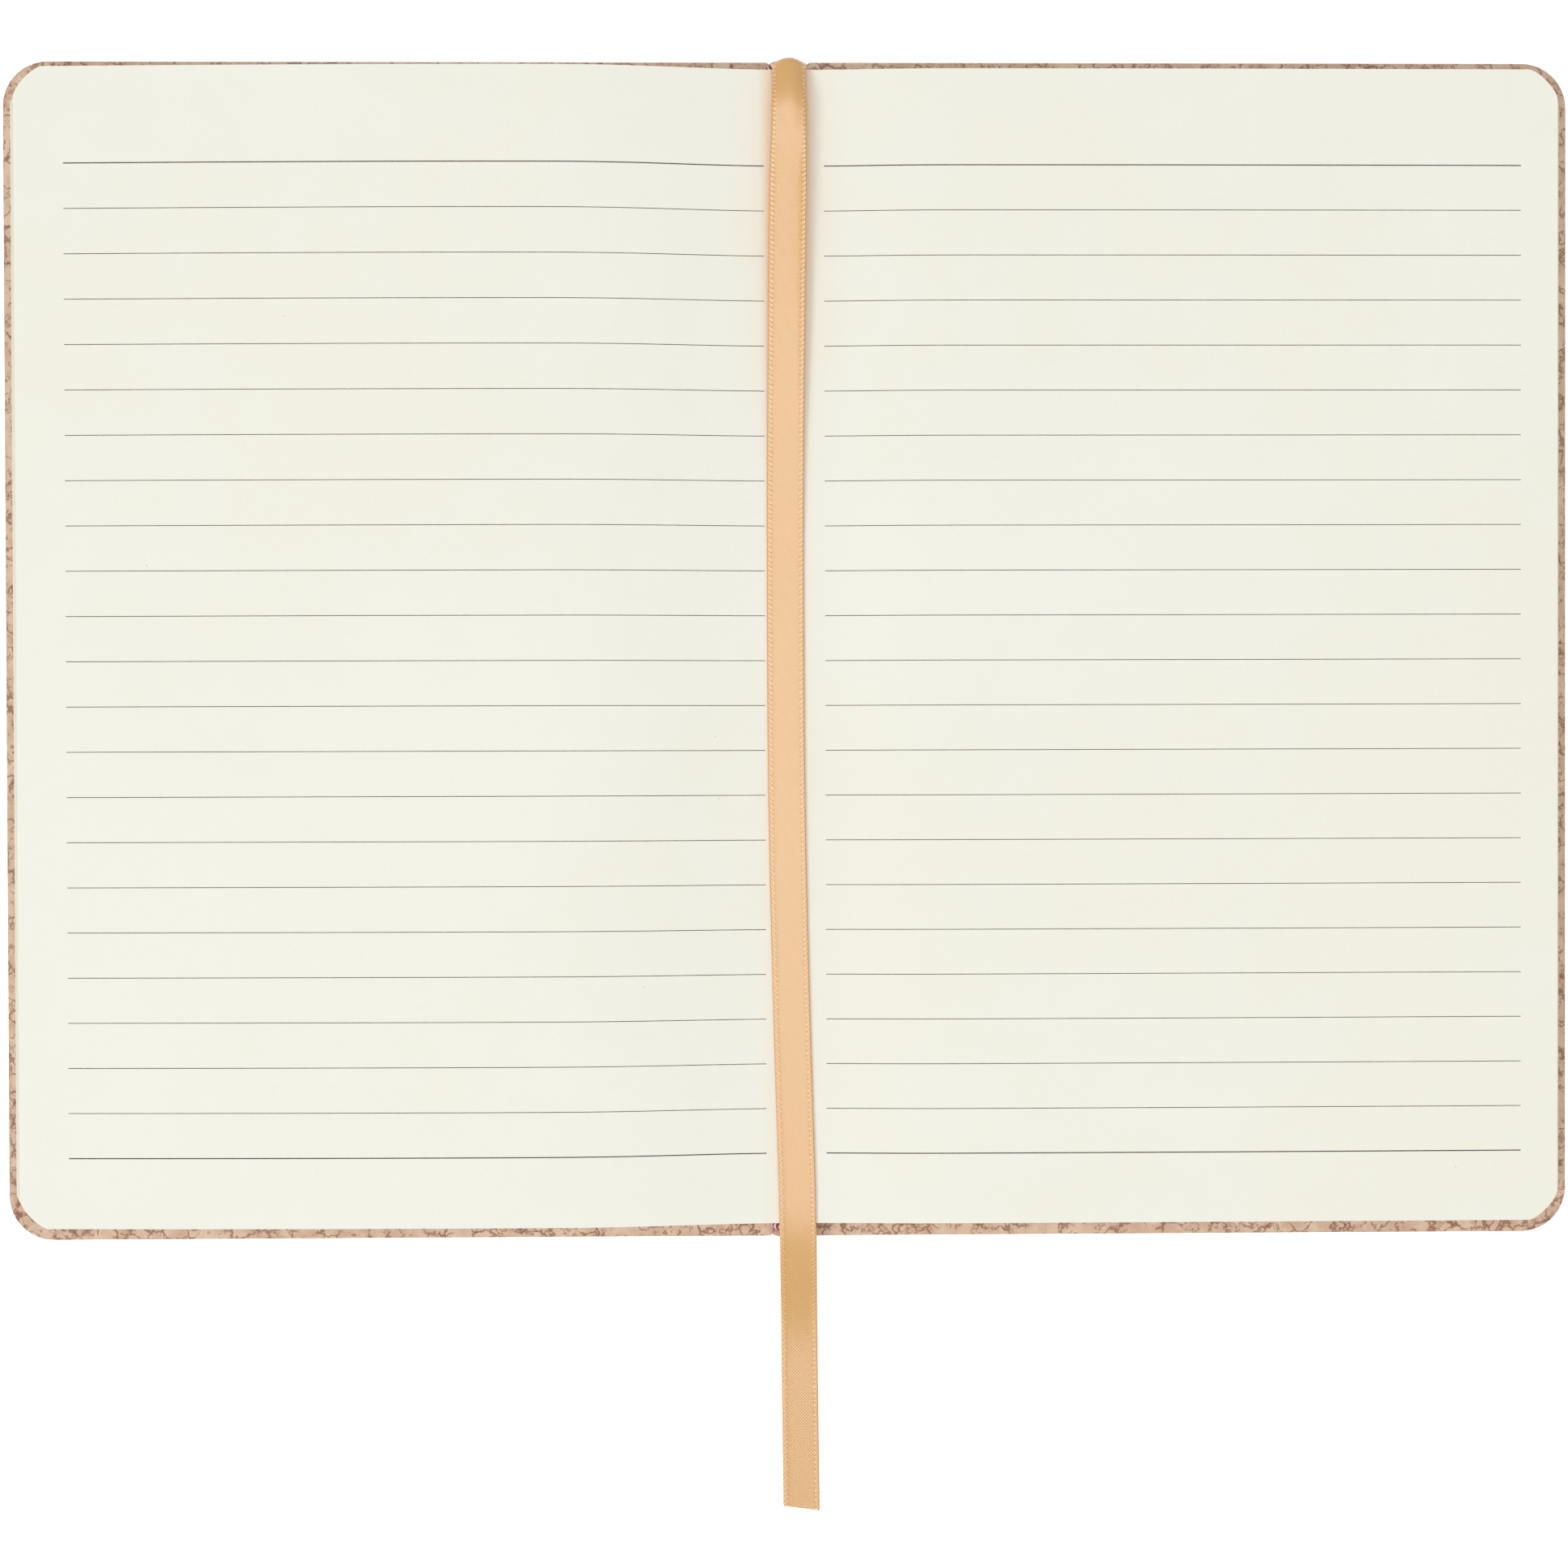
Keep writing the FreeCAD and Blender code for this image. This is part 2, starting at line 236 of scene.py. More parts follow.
class Finish:
    """A material and short ways to add and join its nodes."""

    def __init__(self, name, **sockets):
        self.material = bpy.data.materials.new(name)
        self.material.use_nodes = True
        self.tree = self.material.node_tree
        self.shader = self.tree.nodes["Principled BSDF"]
        for socket, value in sockets.items():
            self.shader.inputs[socket.replace("_", " ")].default_value = value

    def add(self, kind, sockets=None, **settings):
        made = self.tree.nodes.new("ShaderNode" + kind)
        for key, value in settings.items():
            setattr(made, key, value)
        for key, value in (sockets or {}).items():
            if isinstance(value, bpy.types.NodeSocket):
                self.tree.links.new(value, made.inputs[key])
            else:
                made.inputs[key].default_value = value
        return made

    def place_in_mm(self, stretch=(1, 1, 1)):
        where = self.add("TexCoord").outputs["Object"]
        scale = tuple(s / MM for s in stretch)
        return self.add("Mapping", {"Vector": where, "Scale": scale}).outputs["Vector"]

    def noise(self, where, scale, detail=2, roughness=0.5, **more):
        sockets = {"Vector": where, "Scale": scale, "Detail": detail, "Roughness": roughness}
        return self.add("TexNoise", sockets, **more).outputs

    def cells(self, where, scale, feature="F1"):
        sockets = {"Vector": where, "Scale": scale}
        return self.add("TexVoronoi", sockets, feature=feature).outputs

    def math(self, operation, *values):
        return self.add("Math", dict(enumerate(values)), operation=operation).outputs[0]

    def vector(self, operation, sockets):
        return self.add("VectorMath", sockets, operation=operation).outputs[0]

    def between(self, value, low, high, to_low=0.0, to_high=1.0):
        """Maps a value from one range to another, without a sharp start or end."""
        sockets = {"Value": value, "From Min": low, "From Max": high}
        sockets.update({"To Min": to_low, "To Max": to_high})
        return self.add("MapRange", sockets, interpolation_type="SMOOTHSTEP").outputs["Result"]

    def mix(self, share, first, second):
        """Goes from the first colour, at share 0, to the second, at share 1."""
        sockets = {0: share, 6: first, 7: second}
        return self.add("Mix", sockets, data_type="RGBA").outputs[2]

    def over(self, under, share, amount, colour):
        """Lays a colour over another one, with a share that is cut down to an amount."""
        return self.mix(self.math("MULTIPLY", share, amount), under, colour)

    def bump(self, height, distance_mm, strength=1.0, normal=None):
        sockets = {"Height": height, "Distance": distance_mm * MM, "Strength": strength}
        if normal is not None:
            sockets["Normal"] = normal
        return self.add("Bump", sockets).outputs["Normal"]

    def plug(self, socket, value):
        self.tree.links.new(value, self.shader.inputs[socket])


def coat(piece, *finishes):
    """Gives a piece these materials and no others."""
    piece.data.materials.clear()
    for finish in finishes:
        piece.data.materials.append(finish.material)


# %% [markdown]
# ## The ribbon marker's line
# The marker is a satin ribbon 6.5 mm wide. Its end is glued to the back of the pages. It rises
# between them and the headband, folds over the head of the pages, runs down the gutter, and drops
# over the tail to lie on the table. A smooth line that a few points draw in gives that path, and
# the strip follows it.

# %% Route of the ribbon
ribbon_width = 6.5 * MM
ribbon_route = [
    (0.00005, 0.10245, 0.00420),
    (0.00005, 0.10245, 0.00590),
    (0.00005, 0.10395, 0.00735),
    (0.00005, 0.10375, 0.00875),
    (0.00005, 0.10190, 0.00895),
    (0.00005, 0.09840, 0.00840),
    (0.00000, 0.09180, 0.00745),
    (-0.00025, 0.08050, 0.00705),
    (-0.00050, 0.06000, 0.00708),
    (-0.00088, 0.02200, 0.00700),
    (-0.00076, -0.02800, 0.00710),
    (0.00020, -0.07000, 0.00702),
    (0.00090, -0.09200, 0.00712),
    (0.00112, -0.10450, 0.00712),
    (0.00122, -0.11050, 0.00500),
    (0.00133, -0.11580, 0.00170),
    (0.00140, -0.12200, 0.00032),
    (0.00149, -0.13300, 0.00024),
    (0.00172, -0.15450, 0.00030),
]

line_data = bpy.data.curves.new("ribbon_line", "CURVE")
line_data.dimensions = "3D"
line = line_data.splines.new("NURBS")
line.points.add(len(ribbon_route) - 1)
for point, place in zip(line.points, ribbon_route):
    point.co = (*place, 1)
line.order_u = 3
line.use_endpoint_u = True
line.resolution_u = 40
line_holder = new_object("ribbon_line", line_data)
bpy.context.view_layer.update()
line_points = points_of(bpy.data.meshes.new_from_object(line_holder))
bpy.data.objects.remove(line_holder)


def run_along(points):
    """The distance from the first point to each point of a line."""
    return np.concatenate([[0], np.cumsum(np.linalg.norm(np.diff(points, axis=0), axis=1))])


def ramp(value, start, over):
    """Rises from 0 at the start to 1, over this much."""
    return np.clip((value - start) / over, 0, 1)


line_reach = run_along(line_points)
ribbon_length = float(line_reach[-1])
print("ribbon line", len(line_points), "points,", round(ribbon_length / MM, 1), "mm")

# %% [markdown]
# ## The ribbon's strip
# A woven ribbon has a flat satin middle and two thicker selvedges, where the weft turns back in
# small loops. The strip is a grid as long as the line. Its cross-section is laid on the line row by
# row, and each loop of the selvedge is a real bump. At the head the ribbon bends over the round
# headband, so its two edges hang back from its middle.

# %% Ribbon strip
ribbon_half = ribbon_width / MM / 2
ribbon_body = 0.22
selvedge_body = 0.28
loop_pitch = 0.84
loop_height = 0.05
row_step = 0.2
across = np.array([-1, -0.96, -0.91, -0.85, -0.78, -0.74, -0.5, -0.25, 0,
                   0.25, 0.5, 0.74, 0.78, 0.85, 0.91, 0.96, 1]) * ribbon_half
selvedge_from = 0.76 * ribbon_half
loop_shift = 0.7  # radians, so that the loops of the two edges don't lie level
rim_from, rim_over, rim_thinning = 0.96, 0.04, 0.55  # the outermost part of the width is thinner
wavy_from, edge_wave_height = 0.9, 0.05
# The next lists go by the distance along the line, from the glued end, in millimetres.
fold_reach = [0, 1.5, 3.2, 4.6, 7.0, 12.0, 26.0]
edge_back = [0, 0, 0.55, 1.25, 1.25, 0.6, 0]  # how far the two edges hang back at the fold
edge_down = [1.2, 1.2, 0.9, 1.05, 1.3, 0.9, 0]  # and how far down
edge_drawn_in = 0.22
front_reach, front_share = [0, 5.0, 9.0, 40.0], [1, 1, 0.4, 0.4]  # the front edge hangs less
lift_reach = [0, 5.2, 7.5, 10.0, 13.0, 17.0, 28.0, 48.0, 70.0, 90.0]
strip_lift = [0, 0, 0.75, 1.7, 2.3, 2.4, 2.1, 1.4, 0.5, 0]  # it springs up, then lies down
edge_lift = [0, 0, 0, 0.1, 0.2, 0.3, 0.3, 0.2, 0, 0]  # its back edge stays up more
lift_ease, edge_lift_bend = 1.2, 1.5
cut_slope, cut_from, cut_over = 0.45, 240, 20  # the loose end is cut a little askew
look_along = 0.3 * MM


def ribbon_sheet():
    """A closed flat strip: columns across it and a row each fifth of a millimetre."""
    rows = round(ribbon_length / MM / row_step)
    strip = flat_grid("ribbon", (0, 0), (1, 1), len(across) - 1, rows)
    start_edit(strip)
    close_sheet()
    return strip


def place_at(reach):
    """The places on the ribbon's line at these distances along it."""
    return np.stack([np.interp(reach, line_reach, line_points[:, i]) for i in range(3)], axis=1)


ribbon = ribbon_sheet()
flat = points_of(ribbon.data)
column = np.rint(flat[:, 0] / MM * (len(across) - 1)).astype(int)
reach = flat[:, 1] / MM * ribbon_length
upper = flat[:, 2] > 0.5 * MM
side_mm = across[column]
share = np.abs(side_mm) / ribbon_half
middle = place_at(reach)
along = place_at(reach + look_along) - place_at(reach - look_along)
along /= np.linalg.norm(along, axis=1)[:, None]
sideways = np.array([1.0, 0, 0]) - along * along[:, :1]
sideways /= np.linalg.norm(sideways, axis=1)[:, None]
upwards = np.cross(along, sideways)

in_selvedge = np.abs(side_mm) > selvedge_from
loop = 0.5 + 0.5 * np.cos(2 * math.pi * reach / MM / loop_pitch + np.sign(side_mm) * loop_shift)
rim = ramp(share, rim_from, rim_over)
half_body = np.where(in_selvedge, selvedge_body / 2 + loop_height * (loop - 0.5), ribbon_body / 2)
half_body = half_body * (1 - rim_thinning * rim)
height = np.where(upper, half_body, -half_body)
edge_wave = np.where(share > wavy_from, edge_wave_height * (loop - 0.5) * np.sign(side_mm), 0)


def eased(knots, amounts, ease=0.9):
    """A value that changes along the line without a corner."""
    steps = np.linspace(-ease, ease, 9)
    return sum(np.interp(reach / MM + step, knots, amounts) for step in steps) / len(steps)


hang_down = eased(fold_reach, edge_down) * share**2
hang_down *= np.where(side_mm < 0, eased(front_reach, front_share), 1)
lift_up = eased(lift_reach, strip_lift, lift_ease)
back_side = np.clip(side_mm / ribbon_half, 0, 1) ** edge_lift_bend
lift_up = lift_up + eased(lift_reach, edge_lift, lift_ease) * back_side
narrowed = edge_drawn_in * eased(fold_reach, edge_down) * share**2 * np.sign(side_mm)
laid = middle + sideways * ((side_mm + edge_wave - narrowed) * MM)[:, None]
laid = laid + upwards * (height * MM)[:, None]
laid[:, 1] -= eased(fold_reach, edge_back) * share**2 * MM
laid[:, 2] += (lift_up - hang_down) * MM
laid[:, 1] -= cut_slope * MM * side_mm / ribbon_half * ramp(reach / MM, cut_from, cut_over)

weave_map = ribbon.data.uv_layers.new(name="weave")
corners = np.zeros(len(ribbon.data.loops), dtype=np.int64)
ribbon.data.loops.foreach_get("vertex_index", corners)
weave = np.stack([side_mm, reach / MM], axis=1)[corners]
weave_map.data.foreach_set("uv", weave.astype(np.float32).ravel())
while len(ribbon.data.uv_layers) > 1:
    ribbon.data.uv_layers.remove(ribbon.data.uv_layers[0])
set_points(ribbon.data, laid)
face_out(ribbon, close=False)
smooth(ribbon, 50)
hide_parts("ribbon_marker")
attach(ribbon, "pages")
print("ribbon faces", len(ribbon.data.polygons))

# %% [markdown]
# ## Satin
# Satin floats its threads, so it has a soft sheen and a fine lattice where the floats are tied
# down. The pattern reads the strip's own map in millimetres, so it follows every fold. The
# selvedges are painted a little lighter, as highlights, where their loops catch the light, and redder
# at their rims.

# %% Satin ribbon finish
satin = Finish(
    "satin_weave", Roughness=0.31, Sheen_Weight=0.04, Sheen_Roughness=0.4, Specular_IOR_Level=1.0
)
weave_uv = satin.add("UVMap", uv_map="weave").outputs["UV"]
weave_xy = satin.add("SeparateXYZ", {"Vector": weave_uv}).outputs
across_mm, along_mm = weave_xy["X"], weave_xy["Y"]
float_pitch, twill_pitch = 0.54, 0.60
selvedge_at = 2.42  # from the ribbon's middle to the groove along its selvedge
lies_flat_from, lies_flat_at = 200, 235  # along the ribbon, where it comes down to the table


def wave(value, pitch, shift=0.0):
    """A wave from 0 to 1 along a value in millimetres."""
    turned = satin.math("MULTIPLY_ADD", value, 2 * math.pi / pitch, shift)
    return satin.math("MULTIPLY_ADD", satin.math("SINE", turned), 0.5, 0.5)


one_way = wave(satin.math("ADD", along_mm, across_mm), float_pitch)
other_way = wave(satin.math("SUBTRACT", along_mm, across_mm), float_pitch)
tie_down = satin.math("MULTIPLY", one_way, other_way)
thread = satin.add("CombineXYZ", {"X": across_mm, "Y": satin.math("MULTIPLY", along_mm, 0.12)})
thread_tone = satin.noise(thread.outputs["Vector"], 9.0, detail=3)["Fac"]
slow_tone = satin.noise(satin.place_in_mm(), 0.035, detail=1)["Fac"]
twill = wave(satin.math("MULTIPLY_ADD", across_mm, 1.35, along_mm), twill_pitch)
on_table = satin.between(along_mm, lies_flat_from, lies_flat_at)
tie_depth = satin.math("MULTIPLY_ADD", on_table, 0.67, 0.33)
twill_depth = satin.math("MULTIPLY_ADD", on_table, -0.34, 0.44)
tied = satin.between(tie_down, 0.2, 0.6)
floats = satin.over(linear(238, 191, 125), tied, tie_depth, linear(176, 120, 60))
floats = satin.over(floats, twill, twill_depth, linear(206, 150, 86))
floats = satin.over(floats, satin.between(thread_tone, 0.3, 0.7), 0.16, linear(212, 158, 98))
floats = satin.over(floats, satin.between(slow_tone, 0.35, 0.65), 0.25, linear(228, 172, 110))

edge_distance = satin.math("ABSOLUTE", across_mm)
# Painted highlights on the selvedges: the loops are painted lighter along their twist, partly the
# thread's own pattern and partly painted highlight. The loop glints are painted highlights where the
# loops would catch the light.
rope = wave(satin.math("MULTIPLY_ADD", edge_distance, 0.9, along_mm), loop_pitch)
past_groove = satin.between(edge_distance, selvedge_at, 2.52)
painted_loop_glints = satin.math("MULTIPLY", wave(along_mm, 2 * loop_pitch), past_groove)
before_rim = satin.between(edge_distance, 2.60, 2.72, 1.0, 0.0)
painted_loop_glints = satin.math("MULTIPLY", satin.between(painted_loop_glints, 0.72, 0.95), before_rim)
edge = satin.mix(satin.between(rope, 0.1, 0.9), linear(221, 166, 103), linear(238, 190, 128))
edge = satin.over(edge, painted_loop_glints, 0.45, linear(252, 226, 178))
from_groove = satin.math("ABSOLUTE", satin.math("SUBTRACT", edge_distance, selvedge_at))
groove = satin.between(from_groove, 0.0, 0.08, 1.0, 0.0)
hole_wave = satin.between(wave(along_mm, 2 * loop_pitch, 2.4), 0.8, 1.0)
holes = satin.math("MULTIPLY", groove, hole_wave)
colour = satin.mix(satin.between(edge_distance, 2.40, 2.50), floats, edge)
colour = satin.over(colour, groove, 0.08, linear(190, 132, 82))
colour = satin.over(colour, holes, 0.55, linear(150, 100, 62))
colour = satin.over(colour, satin.between(edge_distance, 2.98, 3.2), 0.4, linear(214, 140, 86))
satin.plug("Base Color", colour)
satin.plug("Normal", satin.bump(tie_down, -0.02, 0.5, satin.bump(thread_tone, 0.012, 0.35)))
coat(ribbon, satin)
print("satin nodes", len(satin.tree.nodes))

# %% [markdown]
# ## Paper
# The leaves are cream offset paper: nearly matt, with a faint mottle, a few dark fibres, and a
# tooth that shows only close up. The cut edges of the leaves have their own finish, with each leaf
# of a slightly different tone. Beside the ribbon the pages carry a painted warm shadow and glow.

# %% Paper finishes
def paper_finish(name, light, deep, tooth=0.35):
    paper = Finish(name, Roughness=0.88, Specular_IOR_Level=0.25)
    where = paper.place_in_mm()
    slow = paper.noise(where, 0.012, detail=1)["Fac"]
    mottle = paper.noise(where, 0.09, detail=3)["Fac"]
    tone = paper.math("MULTIPLY_ADD", mottle, 0.35, paper.math("MULTIPLY", slow, 0.65))
    colour = paper.mix(paper.between(tone, 0.36, 0.64), light, deep)
    fibre_at = paper.cells(where, 0.16)
    speck = paper.between(fibre_at["Distance"], 0.012, 0.022, 1.0, 0.0)
    chance = paper.add("SeparateXYZ", {"Vector": fibre_at["Color"]}).outputs["X"]
    speck = paper.math("MULTIPLY", speck, paper.between(chance, 0.78, 0.86))
    colour = paper.over(colour, speck, 0.55, linear(150, 135, 112))
    grain = paper.noise(where, 5.0, detail=4)["Fac"]
    colour = paper.over(colour, paper.between(grain, 0.35, 0.7), 0.08, linear(214, 210, 190))
    paper.plug("Base Color", colour)
    paper.plug("Normal", paper.bump(grain, 0.02, tooth))
    return paper


page_paper = paper_finish("cream_page", linear(249, 249, 239), linear(248, 247, 234))
end_paper = paper_finish("endpaper_sheet", linear(238, 234, 218), linear(232, 227, 209), tooth=0.5)

edge_paper = Finish("cut_leaf_edges", Roughness=0.9, Specular_IOR_Level=0.2)
leaf_tone = edge_paper.add("Attribute", attribute_name="leaf_tone").outputs["Fac"]
edge_where = edge_paper.place_in_mm((0.25, 0.25, 9.0))
edge_fleck = edge_paper.noise(edge_where, 1.4, detail=3)["Fac"]
edge_colour = edge_paper.mix(leaf_tone, linear(246, 245, 232), linear(226, 222, 202))
edge_flecked = edge_paper.between(edge_fleck, 0.35, 0.7)
edge_colour = edge_paper.over(edge_colour, edge_flecked, 0.3, linear(214, 206, 182))
edge_paper.plug("Base Color", edge_colour)
edge_paper.plug("Normal", edge_paper.bump(edge_fleck, 0.03, 0.5))

# Painted light: beside the ribbon, most towards the head, the page colour is pulled to a warm beige.
# This is a painted warm shadow and glow that stands in for light the satin would colour.
page_xyz = page_paper.add("SeparateXYZ", {"Vector": page_paper.place_in_mm()}).outputs
from_ribbon = page_paper.math("ABSOLUTE", page_paper.math("ADD", page_xyz["X"], 0.3))
near = page_paper.between(from_ribbon, 3.4, 5.7, 1.0, 0.0)
around = page_paper.between(from_ribbon, 4.0, 12.0, 0.2, 0.0)
painted_ribbon_glow_and_shade = page_paper.math("MULTIPLY", page_paper.math("MAXIMUM", near, around),
                         page_paper.between(page_xyz["Y"], 22.0, 80.0, 0.2, 1.0))
plain_colour = page_paper.shader.inputs["Base Color"].links[0].from_socket
page_paper.plug("Base Color", page_paper.mix(painted_ribbon_glow_and_shade, plain_colour, linear(246, 228, 204)))
papers = (page_paper, end_paper, edge_paper)
print("paper finishes", [paper.material.name for paper in papers])

# %% [markdown]
# ## The leaves
# The open block is two stacks of leaves that grow out of a rounded back. Each leaf is modelled: a
# flat page with two punched corners and a real thickness, bent so that it lies on the one below.
# The lowest leaves are flat, the top ones run level out of the gutter, rise to a crest and fall to
# the fore-edge. No two leaves end at quite the same place, and that gives the fine lines of a
# trimmed edge.

# %% Shape of the two stacks
page_low, page_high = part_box("page_block")
page_foot_z = page_low.z / MM
head_y, tail_y = page_high.y / MM, page_low.y / MM
page_fore_x = page_high.x / MM
gutter_z = 6.6
arch_radius = 2.9
arch_centre_z = page_foot_z + 0.6
corner_cut = 5.0
corner_segments, corner_profile = 7, 0.36
corner_room = 1.2  # a leaf's columns stop this many corners short of its fore-edge
close_to = 0.01  # mm, within which two places count as the same
stacks = {
    -1: {"stack": 5.3, "fan": 2.2, "reach": 42.0, "rise": 1.8},
    1: {"stack": 4.9, "fan": 1.9, "reach": 32.0, "rise": 0.1},
}
valley_ease, crest_ease = 14.0, 18.0


def bezier(points, steps=400):
    """Points along a curve with these control points."""
    t = np.linspace(0, 1, steps)[:, None]
    points = [np.array(p, dtype=float) for p in points]
    while len(points) > 1:
        points = [a + (b - a) * t for a, b in zip(points, points[1:])]
    return points[0]


for side, form in stacks.items():
    crest_z = page_foot_z + form["stack"] + form["rise"]
    fore_x = page_fore_x - form["fan"]
    gutter, crest = (0, gutter_z), (form["reach"], crest_z)
    climb = bezier([gutter, (valley_ease, gutter_z), (form["reach"] - crest_ease, crest_z), crest])
    fore = (fore_x, page_foot_z + form["stack"])
    fall = bezier([crest, (form["reach"] + 2 * crest_ease, crest_z), fore])
    form["line"] = np.concatenate([climb, fall[1:]])
    form["fore"] = fore_x
    print("stack on side", side, "crest", round(crest_z, 2), "fore-edge", round(fore_x, 2))


def top_height(side, reach_mm):
    """Height of the top leaf, by the distance from the middle of the spine, all in millimetres."""
    form = stacks[side]
    return np.interp(reach_mm, form["line"][:, 0], form["line"][:, 1])


def leaf_height(side, reach_mm, level):
    """Height of a leaf between the lowest, level 0, and the top one, level 1."""
    return page_foot_z + (top_height(side, reach_mm) - page_foot_z) * level


def leaf_start(side, level):
    """Where a leaf meets the rounded back, as a distance from the middle of the spine."""
    rise = leaf_height(side, 0.0, level) - arch_centre_z
    if rise >= arch_radius:
        return 0.0
    return float(np.sqrt(arch_radius**2 - max(rise, 0) ** 2))


# %% One flat leaf, as cut
def flat_leaf(name, columns, rows=1):
    """A leaf from 0 to 1 across, at its real height, with its two outer corners punched round."""
    width = page_fore_x
    leaf = flat_grid(name, (0, tail_y), (width, head_y), columns, rows)
    points = points_of(leaf.data)
    far = (width - close_to) * MM
    inner = points[:, 0] < far
    points[inner, 0] *= (width - corner_room * corner_cut) / width / (1 - 1 / columns)
    set_points(leaf.data, points)
    near_head, near_tail = (head_y - close_to) * MM, (tail_y + close_to) * MM
    start_edit(leaf)
    pick(leaf, "VERT", lambda v: v.co.x > far and not near_tail <= v.co.y <= near_head)
    bpy.ops.mesh.bevel(
        offset=corner_cut * MM, segments=corner_segments, profile=corner_profile, affect="VERTICES"
    )
    close_sheet()
    return leaf


def lay_leaf(flat_points, side, low, high, fore_short=0.0, end_short=0.0):
    """Bends flat leaf points to lie between two levels of one stack."""
    form = stacks[side]
    share = flat_points[:, 0] / MM / page_fore_x
    is_top = flat_points[:, 2] > 0.5 * MM
    start = leaf_start(side, (low + high) / 2)
    fore = page_fore_x - form["fan"] * (low + high) / 2 - fore_short
    reach_mm = start + (fore - start) * share
    z = np.where(is_top, leaf_height(side, reach_mm, high), leaf_height(side, reach_mm, low))
    middle_y = (head_y + tail_y) / 2
    half = (head_y - tail_y) / 2
    y = middle_y + (flat_points[:, 1] / MM - middle_y) * (half - end_short) / half
    return np.stack([side * reach_mm * MM, y * MM, z * MM], axis=1)


# %% The two stacks
leaf_thickness = 0.1
leaf_gap_share = 0.14
uneven_fore, uneven_ends = 0.13, 0.06  # mm, by which a leaf may end short of the longest
short_leaf_chance, short_leaf = 0.12, 0.1
leaf_columns = 44
leaf_rng = random.Random(7)
pattern_leaf = flat_leaf("pattern_leaf", leaf_columns)
pattern_points = points_of(pattern_leaf.data)


def leaf_stack(name, side):
    """All the leaves of one stack as one mesh, each a closed thin sheet."""
    count = round(stacks[side]["stack"] / leaf_thickness)
    copies = []
    for number in range(count):
        low = number / (count + 1)
        high = (number + 1 - leaf_gap_share) / (count + 1)
        copy = new_object(f"leaf_{number}", pattern_leaf.data.copy())
        fore_short = leaf_rng.uniform(0.0, uneven_fore)
        fore_short += short_leaf if leaf_rng.random() < short_leaf_chance else 0
        end_short = leaf_rng.uniform(0, uneven_ends)
        set_points(copy.data, lay_leaf(pattern_points, side, low, high, fore_short, end_short))
        tone = leaf_rng.uniform(0, 1) ** 1.5
        mark_points(copy.data, "leaf_tone", np.full(len(copy.data.vertices), tone))
        copies.append(copy)
    stack = join_all(copies, name)
    face_out(stack, close=False)
    smooth(stack, 30)
    coat(stack, edge_paper)
    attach(stack, "pages")
    print(name, "leaves", count, "faces", len(stack.data.polygons))
    return stack


front_leaves = leaf_stack("leaves_on_front", -1)
leaf_stack("leaves_on_back", 1)
bpy.data.objects.remove(pattern_leaf)
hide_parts("page_block")

# %% [markdown]
# ## The two open pages
# The top leaf of each stack is a piece of its own, cut finer, because it carries the print and
# paper is never quite flat. A slow wave of a tenth of a millimetre breaks up its shading enough.

# %% Open pages
page_columns, page_rows = 110, 24
wave_height, ripple_height, page_lift = 0.07, 0.04, 0.06
level_until, wavy_over, level_before = 8, 30, 12  # level at the gutter and along the fore-edge


def page_wave(side, reach_mm, y_mm):
    """A slow unevenness of the top leaf, in millimetres, that dies out at the gutter."""
    calm = ramp(reach_mm, level_until, wavy_over)
    calm = calm * np.clip((stacks[side]["fore"] - reach_mm) / level_before, 0, 1)
    waves = wave_height * np.sin(y_mm / 31 + side) * np.sin(reach_mm / 23 + 1.3 * side)
    waves = waves + ripple_height * np.sin(y_mm / 13 + reach_mm / 41)
    return np.clip(waves + page_lift, 0, None) * calm


def top_leaf(name, side):
    count = round(stacks[side]["stack"] / leaf_thickness)
    page = flat_leaf(name, page_columns, page_rows)
    flat_points = points_of(page.data)
    laid_points = lay_leaf(flat_points, side, count / (count + 1), 1.0)
    lift = page_wave(side, np.abs(laid_points[:, 0]) / MM, laid_points[:, 1] / MM)
    laid_points[:, 2] += lift * MM
    set_points(page.data, laid_points)
    face_out(page)
    smooth(page, 30)
    coat(page, page_paper)
    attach(page, "pages")
    return page


front_page = top_leaf("open_page_on_front", -1)
back_page = top_leaf("open_page_on_back", 1)
print("open page faces", len(front_page.data.polygons), len(back_page.data.polygons))

# %% [markdown]
# ## The printed rules
# Each page has 23 rules, 7.94 mm apart, and the first and last are heavier. A rule is too thin for
# a pattern that covers the whole page, so each one is a film of ink that stands two hundredths of a
# millimetre above the paper.

# %% Ink finish and rules
ink = Finish("rule_ink", Roughness=0.6, Specular_IOR_Level=0.3)
ink_where = ink.place_in_mm()
ink_wear = ink.noise(ink_where, 3.0, detail=3)["Fac"]
worn = ink.between(ink_wear, 0.3, 0.75)
ink.plug("Base Color", ink.mix(worn, linear(72, 60, 53), linear(104, 90, 80)))

rule_count = 23
first_rule_y = 85.27
rule_pitch = 7.936
rule_spans = {-1: (4.45, 127.1), 1: (6.2, 129.6)}
rule_width, heavy_rule_width = 0.115, 0.185
rule_columns = 100
ink_height = 0.02


